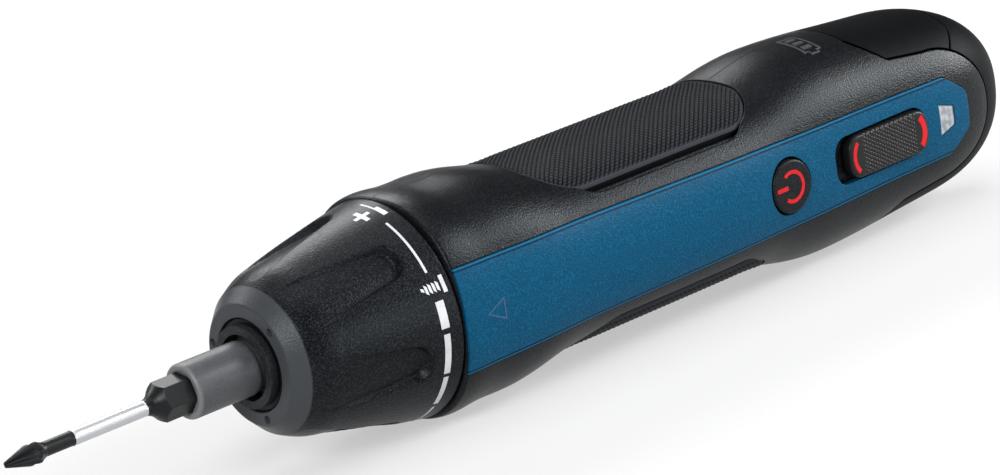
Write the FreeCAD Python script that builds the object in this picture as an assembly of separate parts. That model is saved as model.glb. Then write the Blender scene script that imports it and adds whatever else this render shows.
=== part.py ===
import FreeCAD, Part
import math
import os

# Cordless stick screwdriver with a quarter inch bit holder, a torque collar,
# a two stage planetary gearbox and a lengthwise battery cell.
# Millimetres. X runs along the spindle, from the mouth of the bit socket (zero)
# back to the rear cap. The side panel faces -Y and the charging cover faces +Z.

Vector = FreeCAD.Vector

# Fits
overrun = 1.0
part_gap = 0.1
moving_gap = 0.3
running_gap = 0.05

# Bit and bit holder
hex_flats = 6.35
hex_gap = 0.04
hex_turn_deg = 8.0
bit_length = 50.0
bit_seat = 13.3
bit_shank_end = -8.6
bit_taper_end = -11.6
bit_shaft_radius = 1.45
bit_neck_start = -27.0
bit_neck_radius = 1.75
bit_head_start = -30.2
bit_head_radius = 2.15
bit_point_radius = 0.55
bit_chamfer = 0.6
flute_count = 4
flute_width_share = 0.55
flute_root_share = 0.3
holder_radius = 4.94
holder_lip = 0.7
journal_radius = 4.6
journal_start = 13.0
magnet_radius = 2.6
magnet_length = 3.0
flange_start = 29.0
flange_width = 2.0
flange_radius = 5.5
stem_radius = 3.2
drive_start = 44.0
drive_end = 50.0
drive_flats = 5.4

# Push start
push_travel = 2.0
sleeve_width = 2.0
sleeve_bore_gap = 0.25
arm_half_width = 1.6
arm_thickness = 0.9
arm_inner_y = 5.55
arm_outer_y = 15.1
arm_rise_width = 1.2
arm_end = 104.0
push_spring_radius = 4.0
push_spring_wire = 0.25
push_spring_turns = 6

# Nose tube, gearbox wall and cup
nose_front = 13.2
tube_bore = 5.9
tube_radius = 7.4
wall_front = 43.0
wall_rear = 49.0
spigot_radius = 17.8
spigot_end = 45.3
seat_radius = 17.9
seat_start = 46.2
bush_start = 16.0
hub_start = 47.2
hub_radius = 5.4
cup_radius = 14.5
cup_wall = 1.0
cup_end = 69.8
clip_start = 14.9
clip_width = 0.9
clip_radius = 8.15
clip_groove = 0.5
clip_opening_deg = 50.0

# Torque collar and clutch
collar_front = 14.57
collar_rear = 45.5
collar_face_radius = 11.5
collar_radius = 20.15
collar_wall = 2.4
collar_profile_shares = ((0.095, 0.255), (0.19, 0.4), (0.32, 0.53), (0.48, 0.66), (0.68, 0.8), (0.84, 0.905))
collar_bore_gap = 0.25
collar_web = 3.6
groove_radius = 8.5
groove_depth = 1.5
recess_count = 6
recess_turn_deg = 45.0
recess_depth = 1.2
recess_front = 18.0
recess_run_in = 1.5
recess_rear = 39.6
recess_front_half = 5.4
recess_rear_half = 3.5
recess_corner = 2.4
pin_hole_count = 4
pin_hole_turn_deg = 10.0
pin_hole_circle = 10.0
pin_hole_radius = 0.75
pin_hole_depth = 1.6
key_count = 3
key_width = 2.6
key_radius = 10.9
key_end = 31.5
nut_start = 22.4
nut_width = 4.0
nut_radius = 11.6
washer_start = 41.0
washer_width = 1.4
washer_radius = 13.4
clutch_spring_radius = 9.4
clutch_spring_wire = 0.7
clutch_spring_turns = 5
clutch_pin_count = 6
clutch_pin_radius = 1.2
clutch_pin_circle = 12.0
pin_turn_deg = 30.0

# Planetary gearbox
gear_module = 0.5
pressure_angle_deg = 25.0
sun_teeth = 12
planet_teeth = 18
ring_teeth = 48
planet_count = 3
tooth_gap = 0.09
addendum_share = 0.9
dedendum_share = 1.3
ring_tip_share = 0.75
axial_gap = 0.4
ring_start = 49.4
ring_flange = 1.8
ring_flange_bore = 10.8
carrier_radius = 10.3
carrier_two_width = 2.8
planet_two_width = 5.8
carrier_one_width = 2.0
planet_one_width = 4.8
planet_pin_radius = 1.0
plate_width = 2.2

# Motor
motor_front = 70.0
motor_radius = 12.2
motor_can_wall = 0.9
motor_can_end = 95.0
motor_rear = 101.0
motor_boss_radius = 3.6
motor_boss_length = 1.8
shaft_radius = 1.0
core_radius = 9.3
core_start = 74.0
core_end = 92.0
core_slot_width = 2.0
core_slot_count = 3
core_hub_radius = 4.0
commutator_radius = 3.0
commutator_start = 94.0
commutator_end = 98.0
magnet_gap = 0.5
magnet_arc_deg = 110.0
motor_tab_length = 2.5
motor_tab_width = 2.4
motor_tab_thickness = 0.5
motor_tab_z = 7.5
motor_screw_circle = 8.2
motor_screw_radius = 0.95
motor_screw_head = 1.7
motor_screw_head_height = 1.0
motor_screw_length = 4.6

# Battery cell, boards and switches
cell_start = 108.0
cell_length = 65.0
cell_radius = 9.2
contact_thickness = 0.5
contact_radius = 4.0
board_start = 105.8
board_end = 178.0
board_half_height = 8.0
board_y = -11.0
board_thickness = 1.2
start_switch_gap = 0.3
start_switch_length = 6.0
start_switch_depth = 4.2
start_switch_half = 2.6
tact_half = 3.0
tact_depth = 0.9
tact_plunger_radius = 1.6
slide_base_half_length = 6.5
slide_base_half_height = 3.4
slide_base_depth = 1.8
led_half = 1.4
led_depth = 1.0
charge_board_start = 174.8
charge_board_end = 181.4
charge_board_half = 7.0
charge_board_z = 5.0
charge_board_thickness = 1.2
usb_start = 176.6
usb_thickness = 2.9
usb_half_width = 4.0
usb_wall = 0.35
usb_tongue_thickness = 0.7
usb_tongue_half = 3.0

# Handle shell
body_front = 46.0
body_rear = 200.8
front_half_height = 20.15
waist_half_height = 17.15
hump_half_height = 20.3
tail_half_height = 18.5
front_half_width = 20.15
waist_half_width = 19.9
tail_half_width = 17.9
waist_fall_start = 61.0
waist_fall_end = 80.0
waist_rise_start = 121.0
waist_rise_end = 142.0
tail_start = 147.0
tail_end = 176.0
width_fall_start = 110.0
width_fall_end = 162.0
dome_start = 163.6
dome_power = 3.4
dome_root = 0.667
dome_end_share = 0.985
section_power = 2.3
section_points = 16
section_count = 17
dome_section_count = 6
shell_wall = 2.4
shell_front_round = 0.7
seam_gap = 0.06
rib_width = 1.6
rib_limit_y = -10.9
motor_rib_limit_y = -13.0
motor_ribs = (80.0, 92.0)
cell_ribs = (114.0, 137.0, 167.0)
screw_places = ((104.6, 10.4), (148.0, 14.0))
screw_radius = 1.0
screw_head_radius = 2.0
screw_head_height = 1.8
screw_floor = 2.0
screw_tip_y = -9.0
boss_radius = 2.2
rail_inner_y = 6.2
rail_outer_y = 10.6
rail_thickness = 1.0

# Side panel, buttons and lens on the -Y side
panel_front = 46.3
panel_rear = 179.0
panel_front_half = 9.5
panel_rear_half = 7.6
panel_corner_length = 5.5
panel_corner_drop = 4.0
panel_corner_round = 2.5
panel_depth = 1.5
panel_proud = 0.2
button_x = 127.6
button_radius = 5.0
button_hole_radius = 5.45
button_outer_y = 19.9
button_flange_y = 15.3
button_flange_thickness = 0.8
button_flange_radius = 6.3
button_edge = 0.5
button_travel = 0.7
button_stop_gap = 0.05
slot_front = 140.4
slot_rear = 166.2
slot_half_height = 4.6
slot_corner = 3.4
slider_length = 21.6
slider_half_height = 4.1
slider_corner = 2.9
slider_outer_y = 19.2
slider_inner_y = 17.0
slider_rear_gap = 0.5
slider_travel = 2.8
slider_stem_half_length = 3.0
slider_stem_half_height = 1.6
slider_edge = 0.6
lens_front = 170.4
lens_rear = 174.4
lens_front_half = 3.0
lens_rear_half = 1.8

# Soft grips on top and underneath
grip_front = 74.0
grip_rear = 128.5
grip_half_width = 14.2
grip_corner = 9.0
grip_depth = 1.4
grip_proud = 0.25
moat_width = 1.7
moat_depth = 1.1
moat_end_inset = 3.0

# Rear cap and charging cover
tongue_front = 157.0
tongue_drop_z = 18.2
shelf_front = 162.5
shelf_front_z = 13.7
cheek_center = 172.0
cheek_length = 14.3
cheek_half_height = 12.6
cheek_wall = 2.0
cap_wall = 2.6
cap_gap = 0.4
cover_turn_x = 178.0
cover_turn_z = 10.8
cover_rear = 183.0
cover_rear_low_z = 14.6
cover_wall = 2.2
cover_plug_gap = 0.35
hinge_x = 183.15
hinge_z = 16.6
hinge_radius = 0.3
hinge_half = 3.0
hinge_room_radius = 0.65
hinge_room_half = 5.6

# Derived places
slider_rear = slot_rear - slider_rear_gap
slider_front = slider_rear - slider_length
slider_middle = (slider_front + slider_rear) / 2
holder_end = flange_start + flange_width
sleeve_start = holder_end + part_gap
sleeve_end = sleeve_start + sleeve_width
bush_end = flange_start - part_gap
ring_bore_front = ring_start + ring_flange
ring_radius = cup_radius - cup_wall - running_gap
carrier_two_start = wall_rear + axial_gap
carrier_two_end = carrier_two_start + carrier_two_width
planet_two_start = carrier_two_end + axial_gap
planet_two_end = planet_two_start + planet_two_width
carrier_one_start = planet_two_end + axial_gap
carrier_one_end = carrier_one_start + carrier_one_width
planet_one_start = carrier_one_end + axial_gap
planet_one_end = planet_one_start + planet_one_width
plate_end = cup_end - part_gap
plate_start = plate_end - plate_width
gear_center = gear_module * (sun_teeth + planet_teeth) / 2
board_face = board_y - board_thickness
cell_end = cell_start + cell_length
tall = 2 * max(front_half_height, hump_half_height)


# Small shape helpers
def x_cylinder(radius, start, end, y=0, z=0):
    """A round bar along X."""
    return Part.makeCylinder(radius, end - start, Vector(start, y, z), Vector(1, 0, 0))


def y_cylinder(radius, start, end, x, z):
    """A round bar along Y."""
    return Part.makeCylinder(radius, end - start, Vector(x, start, z), Vector(0, 1, 0))


def x_tube(radius, bore, start, end):
    """A tube along X, open at both ends."""
    return x_cylinder(radius, start, end).cut(x_cylinder(bore, start - overrun, end + overrun))


def box(x_range, y_range, z_range):
    """A box between three pairs of limits."""
    corner = Vector(x_range[0], y_range[0], z_range[0])
    sides = [high - low for low, high in (x_range, y_range, z_range)]
    return Part.makeBox(sides[0], sides[1], sides[2], corner)


def turned(shape, degrees):
    """A copy turned about the spindle."""
    copy = shape.copy()
    copy.rotate(Vector(0, 0, 0), Vector(1, 0, 0), degrees)
    return copy


def ring_of(shape, count, start_deg=0.0):
    """Copies spaced evenly about the spindle."""
    return [turned(shape, start_deg + 360.0 * index / count) for index in range(count)]


def joined(shapes):
    """Several overlapping solids as one clean solid."""
    return shapes[0].fuse(shapes[1:]).removeSplitter() if len(shapes) > 1 else shapes[0]


def revolved(points):
    """A closed outline of (x, radius) points turned about the spindle."""
    corners = [Vector(x, 0, radius) for x, radius in points]
    face = Part.Face(Part.makePolygon(corners + corners[:1]))
    return face.revolve(Vector(0, 0, 0), Vector(1, 0, 0), 360)


def polygon_prism(points, start, end):
    """An outline of (y, z) points pulled along X."""
    corners = [Vector(start, y, z) for y, z in points]
    return Part.Face(Part.makePolygon(corners + corners[:1])).extrude(Vector(end - start, 0, 0))


def hex_prism(flats, start, end):
    """A hexagonal bar along X, turned as the bit stands in the photograph."""
    corner = flats / 2 / math.cos(math.pi / 6)
    angles = [math.radians(hex_turn_deg + 60 * index) for index in range(6)]
    return polygon_prism([(corner * math.cos(a), corner * math.sin(a)) for a in angles], start, end)


def rounded_plate(first, second, corner):
    """A flat rounded rectangle face on the XY plane, given by its limits along X and Y."""
    x0, x1 = first
    y0, y1 = second
    blank = Part.makeBox(x1 - x0, y1 - y0, corner, Vector(x0, y0, 0))
    upright = [edge for edge in blank.Edges if abs(edge.tangentAt(edge.FirstParameter).z) > 0.5]
    rounded = blank.makeFillet(corner, upright)
    flat = [face for face in rounded.Faces if face.normalAt(0, 0).z < -0.5]
    return flat[0]


def side_prism(face):
    """A face on the XY plane stood up to face -Y and pulled right through the -Y wall."""
    copy = face.copy()
    copy.rotate(Vector(0, 0, 0), Vector(1, 0, 0), 90)
    return copy.extrude(Vector(0, -tall, 0))


def biarc(start, start_way, end, end_way):
    """Two arcs that leave the start and reach the end along the given directions."""
    span = end - start
    both = start_way + end_way
    bend = 2 * (1 - start_way.dot(end_way))
    along = span.dot(both)
    reach = (math.sqrt(along * along + bend * span.dot(span)) - along) / bend
    first_corner = start + start_way * reach
    last_corner = end - end_way * reach
    middle = (first_corner + last_corner) / 2
    arcs = []
    for low, corner, high in ((start, first_corner, middle), (middle, last_corner, end)):
        base = (low + high) / 2
        weight = (low - base).Length / reach
        arcs.append(Part.Arc(low, (base + corner * weight) / (1 + weight), high).toShape())
    return arcs


def spring(radius, wire, turns, start, end):
    """A round wire wound about the spindle in half turns, just clear of both seats."""
    first = start + wire + part_gap
    pitch = (end - wire - part_gap - first) / turns
    slope = Vector(pitch, 0, 0) / (2 * math.pi)
    places = []
    ways = []
    for half_turn in range(2 * turns + 1):
        side = (-1) ** half_turn
        places.append(Vector(first + pitch * half_turn / 2, 0, side * radius))
        way = slope + Vector(0, side * radius, 0)
        ways.append(way / way.Length)
    edges = []
    for index in range(2 * turns):
        edges += biarc(places[index], ways[index], places[index + 1], ways[index + 1])
    section = Part.Wire(Part.makeCircle(wire, places[0], ways[0]))
    return Part.Wire(edges).makePipeShell([section], True, False)


# Handle surface
def ease(x, start, end):
    """A smooth step from 0 to 1 between two places."""
    share = min(1.0, max(0.0, (x - start) / (end - start)))
    return share * share * (3 - 2 * share)


def half_height(x):
    """Half of the handle's height: full at the front, drawn in at the waist, full at the hump."""
    height = front_half_height
    height += (waist_half_height - front_half_height) * ease(x, waist_fall_start, waist_fall_end)
    height += (hump_half_height - waist_half_height) * ease(x, waist_rise_start, waist_rise_end)
    height += (tail_half_height - hump_half_height) * ease(x, tail_start, tail_end)
    return height


def half_width(x):
    """Half of the handle's width, tapering to the tail."""
    width = front_half_width
    width += (waist_half_width - front_half_width) * ease(x, waist_fall_start, waist_fall_end)
    width += (tail_half_width - waist_half_width) * ease(x, width_fall_start, width_fall_end)
    return width


def handle_section(x, inset, shrink):
    """One closed superellipse across the handle."""
    width = (half_width(x) - inset) * shrink
    height = (half_height(x) - inset) * shrink
    points = []
    for index in range(section_points):
        angle = 2 * math.pi * index / section_points
        across = math.copysign(abs(math.cos(angle)) ** (2 / section_power), math.cos(angle))
        upward = math.copysign(abs(math.sin(angle)) ** (2 / section_power), math.sin(angle))
        points.append(Vector(x, width * across, height * upward))
    curve = Part.BSplineCurve()
    curve.interpolate(points, PeriodicFlag=True)
    return Part.Wire(curve.toShape())


def handle_solid(inset, front=None):
    """The handle's outer form, drawn in by a distance on every side but the front."""
    first = body_front if front is None else front
    wires = []
    for index in range(section_count):
        x = first + (dome_start - first) * index / (section_count - 1)
        wires.append(handle_section(x, inset, 1.0))
    reach = body_rear - inset - dome_start
    for index in range(dome_section_count):
        share = dome_end_share * math.sin(math.pi / 2 * (index + 1) / dome_section_count)
        shrink = (1 - share ** dome_power) ** dome_root
        wires.append(handle_section(dome_start + reach * share, inset, shrink))
    return Part.makeLoft(wires, True, False)


def cheek_prism(inset):
    """Everything in front of the rear cap's parting line, as a prism across the tool."""
    top = shelf_front_z - inset
    arc_height = cheek_half_height - inset
    arc_length = cheek_length - inset
    nose = tongue_front - inset
    unit_arc = Part.Arc(Vector(0, 0, -1), Vector(1, 0, 0), Vector(0, 0, 1)).toShape()
    stretch = FreeCAD.Matrix()
    stretch.scale(arc_length, 1, arc_height)
    stretch.move(Vector(cheek_center, -tall, 0))
    arc = unit_arc.transformGeometry(stretch)
    low, high = sorted((arc.Vertexes[0].Point, arc.Vertexes[-1].Point), key=lambda point: point.z)
    upper = [high, Vector(shelf_front, -tall, top), Vector(nose, -tall, tongue_drop_z - inset),
             Vector(nose, -tall, tall), Vector(-body_front, -tall, tall)]
    lower = [Vector(point.x, point.y, -point.z) for point in reversed(upper[1:])] + [low]
    edges = Part.makePolygon(upper + lower).Edges
    wire = Part.Wire(Part.__sortEdges__(edges + [arc]))
    return Part.Face(wire).extrude(Vector(0, 2 * tall, 0))


# Gears
def involute(angle):
    return math.tan(angle) - angle


def gear_points(teeth, root, tip, thicker):
    """Straight runs through three points on each involute flank."""
    pitch = gear_module * teeth / 2
    base = pitch * math.cos(math.radians(pressure_angle_deg))
    pressure_turn = involute(math.radians(pressure_angle_deg))
    radii = (root, (root + tip) / 2, tip)
    points = []
    for tooth in range(teeth):
        middle = 2 * math.pi * tooth / teeth
        halves = []
        for radius in radii:
            turn = involute(math.acos(min(1.0, base / radius)))
            half = math.pi / 2 / teeth + thicker / pitch + pressure_turn - turn
            halves.append((radius, half))
        for radius, half in halves:
            points.append((radius * math.cos(middle - half), radius * math.sin(middle - half)))
        for radius, half in reversed(halves):
            points.append((radius * math.cos(middle + half), radius * math.sin(middle + half)))
    return points


def gear(teeth, start, end, turn_deg=0.0):
    """An external gear on the spindle's axis, its first tooth towards +Y."""
    pitch = gear_module * teeth / 2
    tip = pitch + gear_module * addendum_share
    root = pitch - gear_module * dedendum_share
    return turned(polygon_prism(gear_points(teeth, root, tip, -tooth_gap / 2), start, end), turn_deg)


def planet(start, end):
    """One planet gear in its place towards +Y, with a gap facing the sun."""
    blank = gear(planet_teeth, start, end, 180.0 / planet_teeth)
    blank = blank.cut(x_cylinder(planet_pin_radius + running_gap, start - overrun, end + overrun))
    blank.translate(Vector(0, gear_center, 0))
    return blank


def carrier(disc_start, disc_end, pin_end):
    """A planet carrier: a disc with its planet pins."""
    disc = x_cylinder(carrier_radius, disc_start, disc_end)
    low, high = min(disc_start, pin_end), max(disc_end, pin_end)
    pin = x_cylinder(planet_pin_radius, low, high, gear_center)
    return [disc] + ring_of(pin, planet_count)


# Pieces of the spindle
def make_bit():
    """The screwdriver bit: hexagonal shank, slim shaft and a cross tip."""
    tip = bit_seat - bit_length
    corner = hex_flats / 2 / math.cos(math.pi / 6)
    shank = hex_prism(hex_flats, bit_shank_end, bit_seat)
    ends = revolved([(bit_shank_end, 0), (bit_shank_end, corner), (bit_seat - bit_chamfer, corner),
                     (bit_seat, corner - bit_chamfer), (bit_seat, 0)])
    neck = revolved([(tip, 0), (tip, bit_point_radius), (bit_head_start, bit_head_radius),
                     (bit_neck_start, bit_neck_radius), (bit_neck_start, bit_shaft_radius),
                     (bit_taper_end, bit_shaft_radius), (bit_shank_end, hex_flats / 2),
                     (bit_shank_end, 0)])
    half = bit_head_radius * flute_width_share
    root = bit_head_radius * flute_root_share
    reach = bit_head_radius + half
    corners = [(root, root), (reach, root), (reach, reach), (root, reach)]
    flute = polygon_prism(corners, tip - overrun, bit_head_start)
    flutes = ring_of(flute, flute_count)
    return joined([shank.common(ends), neck]).cut(flutes)


def make_holder():
    """The bit holder, turned from one bar with its stop flange, stem and drive end."""
    solid = revolved([(0, 0), (0, holder_radius - holder_lip), (holder_lip, holder_radius),
                      (journal_start, holder_radius), (journal_start, journal_radius),
                      (flange_start, journal_radius), (flange_start, flange_radius),
                      (holder_end, flange_radius), (holder_end, stem_radius),
                      (drive_start, stem_radius), (drive_start, 0)])
    solid = joined([solid, hex_prism(drive_flats, drive_start, drive_end)])
    solid = solid.cut(hex_prism(hex_flats + 2 * hex_gap, -overrun, bit_seat + part_gap))
    pocket_end = bit_seat + 2 * part_gap + magnet_length + part_gap
    return solid.cut(x_cylinder(magnet_radius + running_gap, bit_seat, pocket_end))


def make_magnet():
    return x_cylinder(magnet_radius, bit_seat + 2 * part_gap, bit_seat + 2 * part_gap + magnet_length)


def make_push_sleeve():
    """The ring behind the flange, with the arm that carries the push back to the start switch."""
    ring = x_tube(arm_inner_y, stem_radius + sleeve_bore_gap, sleeve_start, sleeve_end)
    rise_start = wall_front + moving_gap
    rise_end = rise_start + arm_rise_width
    side = (-arm_half_width, arm_half_width)
    inner = box((sleeve_start, rise_end), (-arm_inner_y, arm_thickness - arm_inner_y), side)
    outer_y = -arm_outer_y - arm_thickness
    rise = box((rise_start, rise_end), (outer_y, arm_thickness - arm_inner_y), side)
    outer = box((rise_start, arm_end), (outer_y, -arm_outer_y), side)
    return joined([ring, inner, rise, outer])


def make_push_spring():
    return spring(push_spring_radius, push_spring_wire, push_spring_turns, sleeve_end, wall_front)


# Nose, collar and clutch
def make_gearbox_housing():
    """Nose tube, front wall and ring gear cup in one moulding."""
    tube = x_tube(tube_radius, tube_bore, nose_front, wall_front)
    wall = x_cylinder(spigot_radius, wall_front, spigot_end)
    neck = x_cylinder(cup_radius, spigot_end, cup_end)
    seat = x_cylinder(seat_radius, seat_start, wall_rear)
    solid = joined([tube, wall, neck, seat])
    solid = solid.cut(x_cylinder(cup_radius - cup_wall, wall_rear, cup_end + overrun))
    solid = solid.cut(x_cylinder(hub_radius + running_gap, hub_start - moving_gap, wall_rear + overrun))
    solid = solid.cut(x_cylinder(stem_radius + moving_gap, wall_front - overrun, wall_rear))
    side = (-arm_half_width - moving_gap, arm_half_width + moving_gap)
    slot_end = wall_front + arm_rise_width + push_travel + 2 * moving_gap
    outer_y = -arm_outer_y - arm_thickness - moving_gap
    inner_y = moving_gap + arm_thickness - arm_inner_y
    rise_slot = box((wall_front - overrun, slot_end), (outer_y, inner_y), side)
    spared = x_tube(tube_radius + overrun, tube_bore, wall_front - 2 * overrun, wall_front)
    rise_slot = rise_slot.cut(spared)
    side_slot = box((wall_front, wall_rear + overrun), (outer_y, moving_gap - arm_outer_y), side)
    pin_hole = x_cylinder(clutch_pin_radius + running_gap, wall_front - overrun, wall_rear + overrun,
                          clutch_pin_circle)
    solid = solid.cut([rise_slot, side_slot] + ring_of(pin_hole, clutch_pin_count, pin_turn_deg))
    groove = x_tube(tube_radius + overrun, tube_radius - clip_groove, clip_start - part_gap,
                    clip_start + clip_width + part_gap)
    return solid.cut(groove)


def make_nose_bush():
    return x_tube(tube_bore - part_gap, journal_radius + running_gap, bush_start, bush_end)


def make_collar_clip():
    """The spring clip that keeps the collar on the nose tube."""
    ring = x_tube(clip_radius, tube_radius - clip_groove + part_gap, clip_start, clip_start + clip_width)
    half = math.radians(clip_opening_deg / 2)
    reach = 2 * clip_radius
    wedge = polygon_prism([(0, 0), (reach * math.cos(half), -reach * math.sin(half)),
                           (reach * math.cos(half), reach * math.sin(half))], clip_start - overrun,
                          clip_start + clip_width + overrun)
    return ring.cut(wedge)


def collar_outline(inset, slope):
    """The collar's chamfer and outer curve, drawn in by a distance and by a slope's share of the length."""
    length = collar_rear - collar_front
    rise = collar_radius - collar_face_radius
    shares = ((0.0, 0.0),) + collar_profile_shares + ((1.0, 1.0),)
    points = [Vector(collar_front + length * along, 0,
                     collar_face_radius + rise * out - inset - slope * length * along)
              for along, out in shares]
    curve = Part.BSplineCurve()
    curve.interpolate(points[1:])
    return [Part.makeLine(points[0], points[1]), curve.toShape()], points


def collar_blank(inset, slope=0.0):
    """The solid inside the collar's outer curve."""
    edges, points = collar_outline(inset, slope)
    first, last = points[0], points[-1]
    rest = Part.makePolygon([last, Vector(last.x, 0, 0), Vector(first.x, 0, 0), first]).Edges
    face = Part.Face(Part.Wire(edges + rest))
    return face.revolve(Vector(0, 0, 0), Vector(1, 0, 0), 360)


def make_collar():
    """The torque collar: a hollow cone with three inner keys and six finger recesses, deepest at the rear."""
    outer = collar_blank(0.0)
    web_end = collar_front + collar_web
    hollow = collar_blank(recess_depth + collar_wall / 2).common(
        x_cylinder(tall, web_end, collar_rear + overrun))
    hollow = joined([hollow, x_cylinder(spigot_radius + collar_bore_gap, wall_front - moving_gap,
                                        collar_rear + overrun)])
    solid = outer.cut(hollow)
    solid = solid.cut(x_cylinder(tube_radius + collar_bore_gap, collar_front - overrun, web_end + overrun))
    solid = solid.cut(x_cylinder(groove_radius, collar_front - overrun, collar_front + groove_depth))
    corners = [Vector(recess_front, -recess_front_half, 0), Vector(recess_rear, -recess_rear_half, 0),
               Vector(recess_rear, recess_rear_half, 0), Vector(recess_front, recess_front_half, 0)]
    blank = Part.Face(Part.makePolygon(corners + corners[:1])).extrude(Vector(0, 0, tall))
    upright = [edge for edge in blank.Edges
               if len(edge.Vertexes) == 2 and edge.Vertexes[0].Point.x == edge.Vertexes[1].Point.x
               and edge.Vertexes[0].Point.y == edge.Vertexes[1].Point.y]
    run_out = recess_front + recess_run_in
    slope = recess_depth / (recess_rear - run_out)
    floor = collar_blank(slope * (collar_front - run_out), slope)
    recess = blank.makeFillet(recess_corner, upright).cut(floor)
    solid = solid.cut(ring_of(recess, recess_count, 90 - recess_turn_deg))
    pin_hole = x_cylinder(pin_hole_radius, collar_front - overrun, collar_front + pin_hole_depth,
                          pin_hole_circle)
    solid = solid.cut(ring_of(pin_hole, pin_hole_count, pin_hole_turn_deg))
    key = box((web_end - overrun, key_end), (-key_width / 2, key_width / 2), (key_radius, tall))
    key = key.common(collar_blank(recess_depth + collar_wall / 4))
    return joined([solid] + ring_of(key, key_count))


def make_clutch_nut():
    """The nut that the collar's keys turn on the nose thread, to load the clutch spring."""
    ring = x_tube(nut_radius, tube_radius + moving_gap, nut_start, nut_start + nut_width)
    half = key_width / 2 + moving_gap
    slot = box((nut_start - overrun, nut_start + nut_width + overrun), (-half, half),
               (key_radius - moving_gap, tall))
    return ring.cut(ring_of(slot, key_count))


def make_clutch_spring():
    nut_end = nut_start + nut_width
    return spring(clutch_spring_radius, clutch_spring_wire, clutch_spring_turns, nut_end, washer_start)


def make_clutch_washer():
    return x_tube(washer_radius, tube_radius + moving_gap, washer_start, washer_start + washer_width)


def make_clutch_pins():
    """The pins that press the clutch spring's load onto the ring gear."""
    start = washer_start + washer_width + part_gap
    pin = x_cylinder(clutch_pin_radius, start, ring_start - part_gap, clutch_pin_circle)
    return Part.makeCompound(ring_of(pin, clutch_pin_count, pin_turn_deg))


# Gear train
def make_ring_gear():
    """The ring gear that both stages share, with its flange under the clutch pins."""
    blank = x_cylinder(ring_radius, ring_start, plate_start - part_gap)
    pitch = gear_module * ring_teeth / 2
    tip = pitch - gear_module * ring_tip_share
    root = pitch + gear_module * dedendum_share
    spaces = polygon_prism(gear_points(ring_teeth, tip, root, tooth_gap / 2), ring_bore_front, plate_start)
    spaces = turned(spaces, 180.0 / ring_teeth)
    bore = x_cylinder(ring_flange_bore, ring_start - overrun, ring_bore_front)
    core = x_cylinder(tip, ring_bore_front, plate_start)
    return blank.cut([bore, core]).cut(spaces)


def make_carrier_two():
    """The output carrier, with the hub that drives the bit holder."""
    hub = x_cylinder(hub_radius, hub_start, carrier_two_end)
    pieces = carrier(carrier_two_start, carrier_two_end, planet_two_end)
    solid = joined([hub] + pieces)
    return solid.cut(hex_prism(drive_flats + 4 * hex_gap, hub_start - overrun, carrier_two_end + overrun))


def make_carrier_one():
    """The first carrier, with the second stage's sun gear on its front face."""
    pieces = carrier(carrier_one_start, carrier_one_end, planet_one_end)
    return joined(pieces + [gear(sun_teeth, planet_two_start, carrier_one_end)])


def make_pinion():
    """The first stage's sun gear, bored for the motor shaft."""
    blank = gear(sun_teeth, planet_one_start, plate_start - part_gap)
    return blank.cut(x_cylinder(shaft_radius + running_gap, planet_one_start - overrun, plate_end))


def screw_offsets():
    """Where the two motor screws stand."""
    return (motor_screw_circle, -motor_screw_circle)


def make_motor_plate():
    """The plate that closes the gearbox and carries the motor."""
    plate = x_cylinder(cup_radius - cup_wall - running_gap, plate_start, plate_end)
    holes = [x_cylinder(motor_boss_radius + running_gap, plate_start - overrun, plate_end + overrun)]
    head_end = plate_start + motor_screw_head_height + part_gap
    for z in screw_offsets():
        holes.append(x_cylinder(motor_screw_head + part_gap, plate_start - overrun, head_end, 0, z))
        holes.append(x_cylinder(motor_screw_radius + part_gap, plate_start, plate_end + overrun, 0, z))
    return plate.cut(holes)


def make_motor_screws():
    screws = []
    head_end = plate_start + motor_screw_head_height
    for z in screw_offsets():
        head = x_cylinder(motor_screw_head, plate_start, head_end, 0, z)
        shank = x_cylinder(motor_screw_radius, plate_start, plate_start + motor_screw_length, 0, z)
        screws.append(joined([head, shank]))
    return Part.makeCompound(screws)


# Motor
def make_motor_can():
    """The motor's steel can with its front boss."""
    can = x_cylinder(motor_radius, motor_front, motor_can_end)
    bore = motor_radius - motor_can_wall
    can = can.cut(x_cylinder(bore, motor_front + motor_can_wall, motor_can_end + overrun))
    boss = x_cylinder(motor_boss_radius, motor_front - motor_boss_length, motor_front + motor_can_wall)
    holes = [x_cylinder(shaft_radius + running_gap, motor_front - motor_boss_length - overrun, core_start)]
    for z in screw_offsets():
        holes.append(x_cylinder(motor_screw_radius + part_gap, motor_front - overrun, core_start, 0, z))
    return joined([can, boss]).cut(holes)


def make_motor_magnets():
    """Two arc magnets inside the can."""
    outer = motor_radius - motor_can_wall - part_gap
    ring = x_tube(outer, core_radius + magnet_gap, core_start, core_end)
    half = math.radians(magnet_arc_deg / 2)
    reach = 2 * motor_radius
    wedge = polygon_prism([(0, 0), (reach * math.cos(half), -reach * math.sin(half)),
                           (reach * math.cos(half), reach * math.sin(half))], core_start, core_end)
    arc = ring.common(wedge)
    return Part.makeCompound(ring_of(arc, 2))


def make_motor_end_cap():
    """The plastic end of the motor, with its rear bearing and two terminals."""
    inner = motor_radius - motor_can_wall
    cap = x_cylinder(motor_radius, motor_can_end + part_gap, motor_rear)
    cap = cap.cut(x_cylinder(inner, motor_can_end, motor_rear - 2 * motor_can_wall))
    cap = cap.cut(x_cylinder(shaft_radius + running_gap, motor_can_end, motor_rear + overrun))
    tabs = []
    for side in (-1, 1):
        z = side * motor_tab_z
        tabs.append(box((motor_rear - motor_can_wall, motor_rear + motor_tab_length),
                        (-motor_tab_width / 2, motor_tab_width / 2),
                        (z - motor_tab_thickness / 2, z + motor_tab_thickness / 2)))
    return joined([cap] + tabs)


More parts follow.
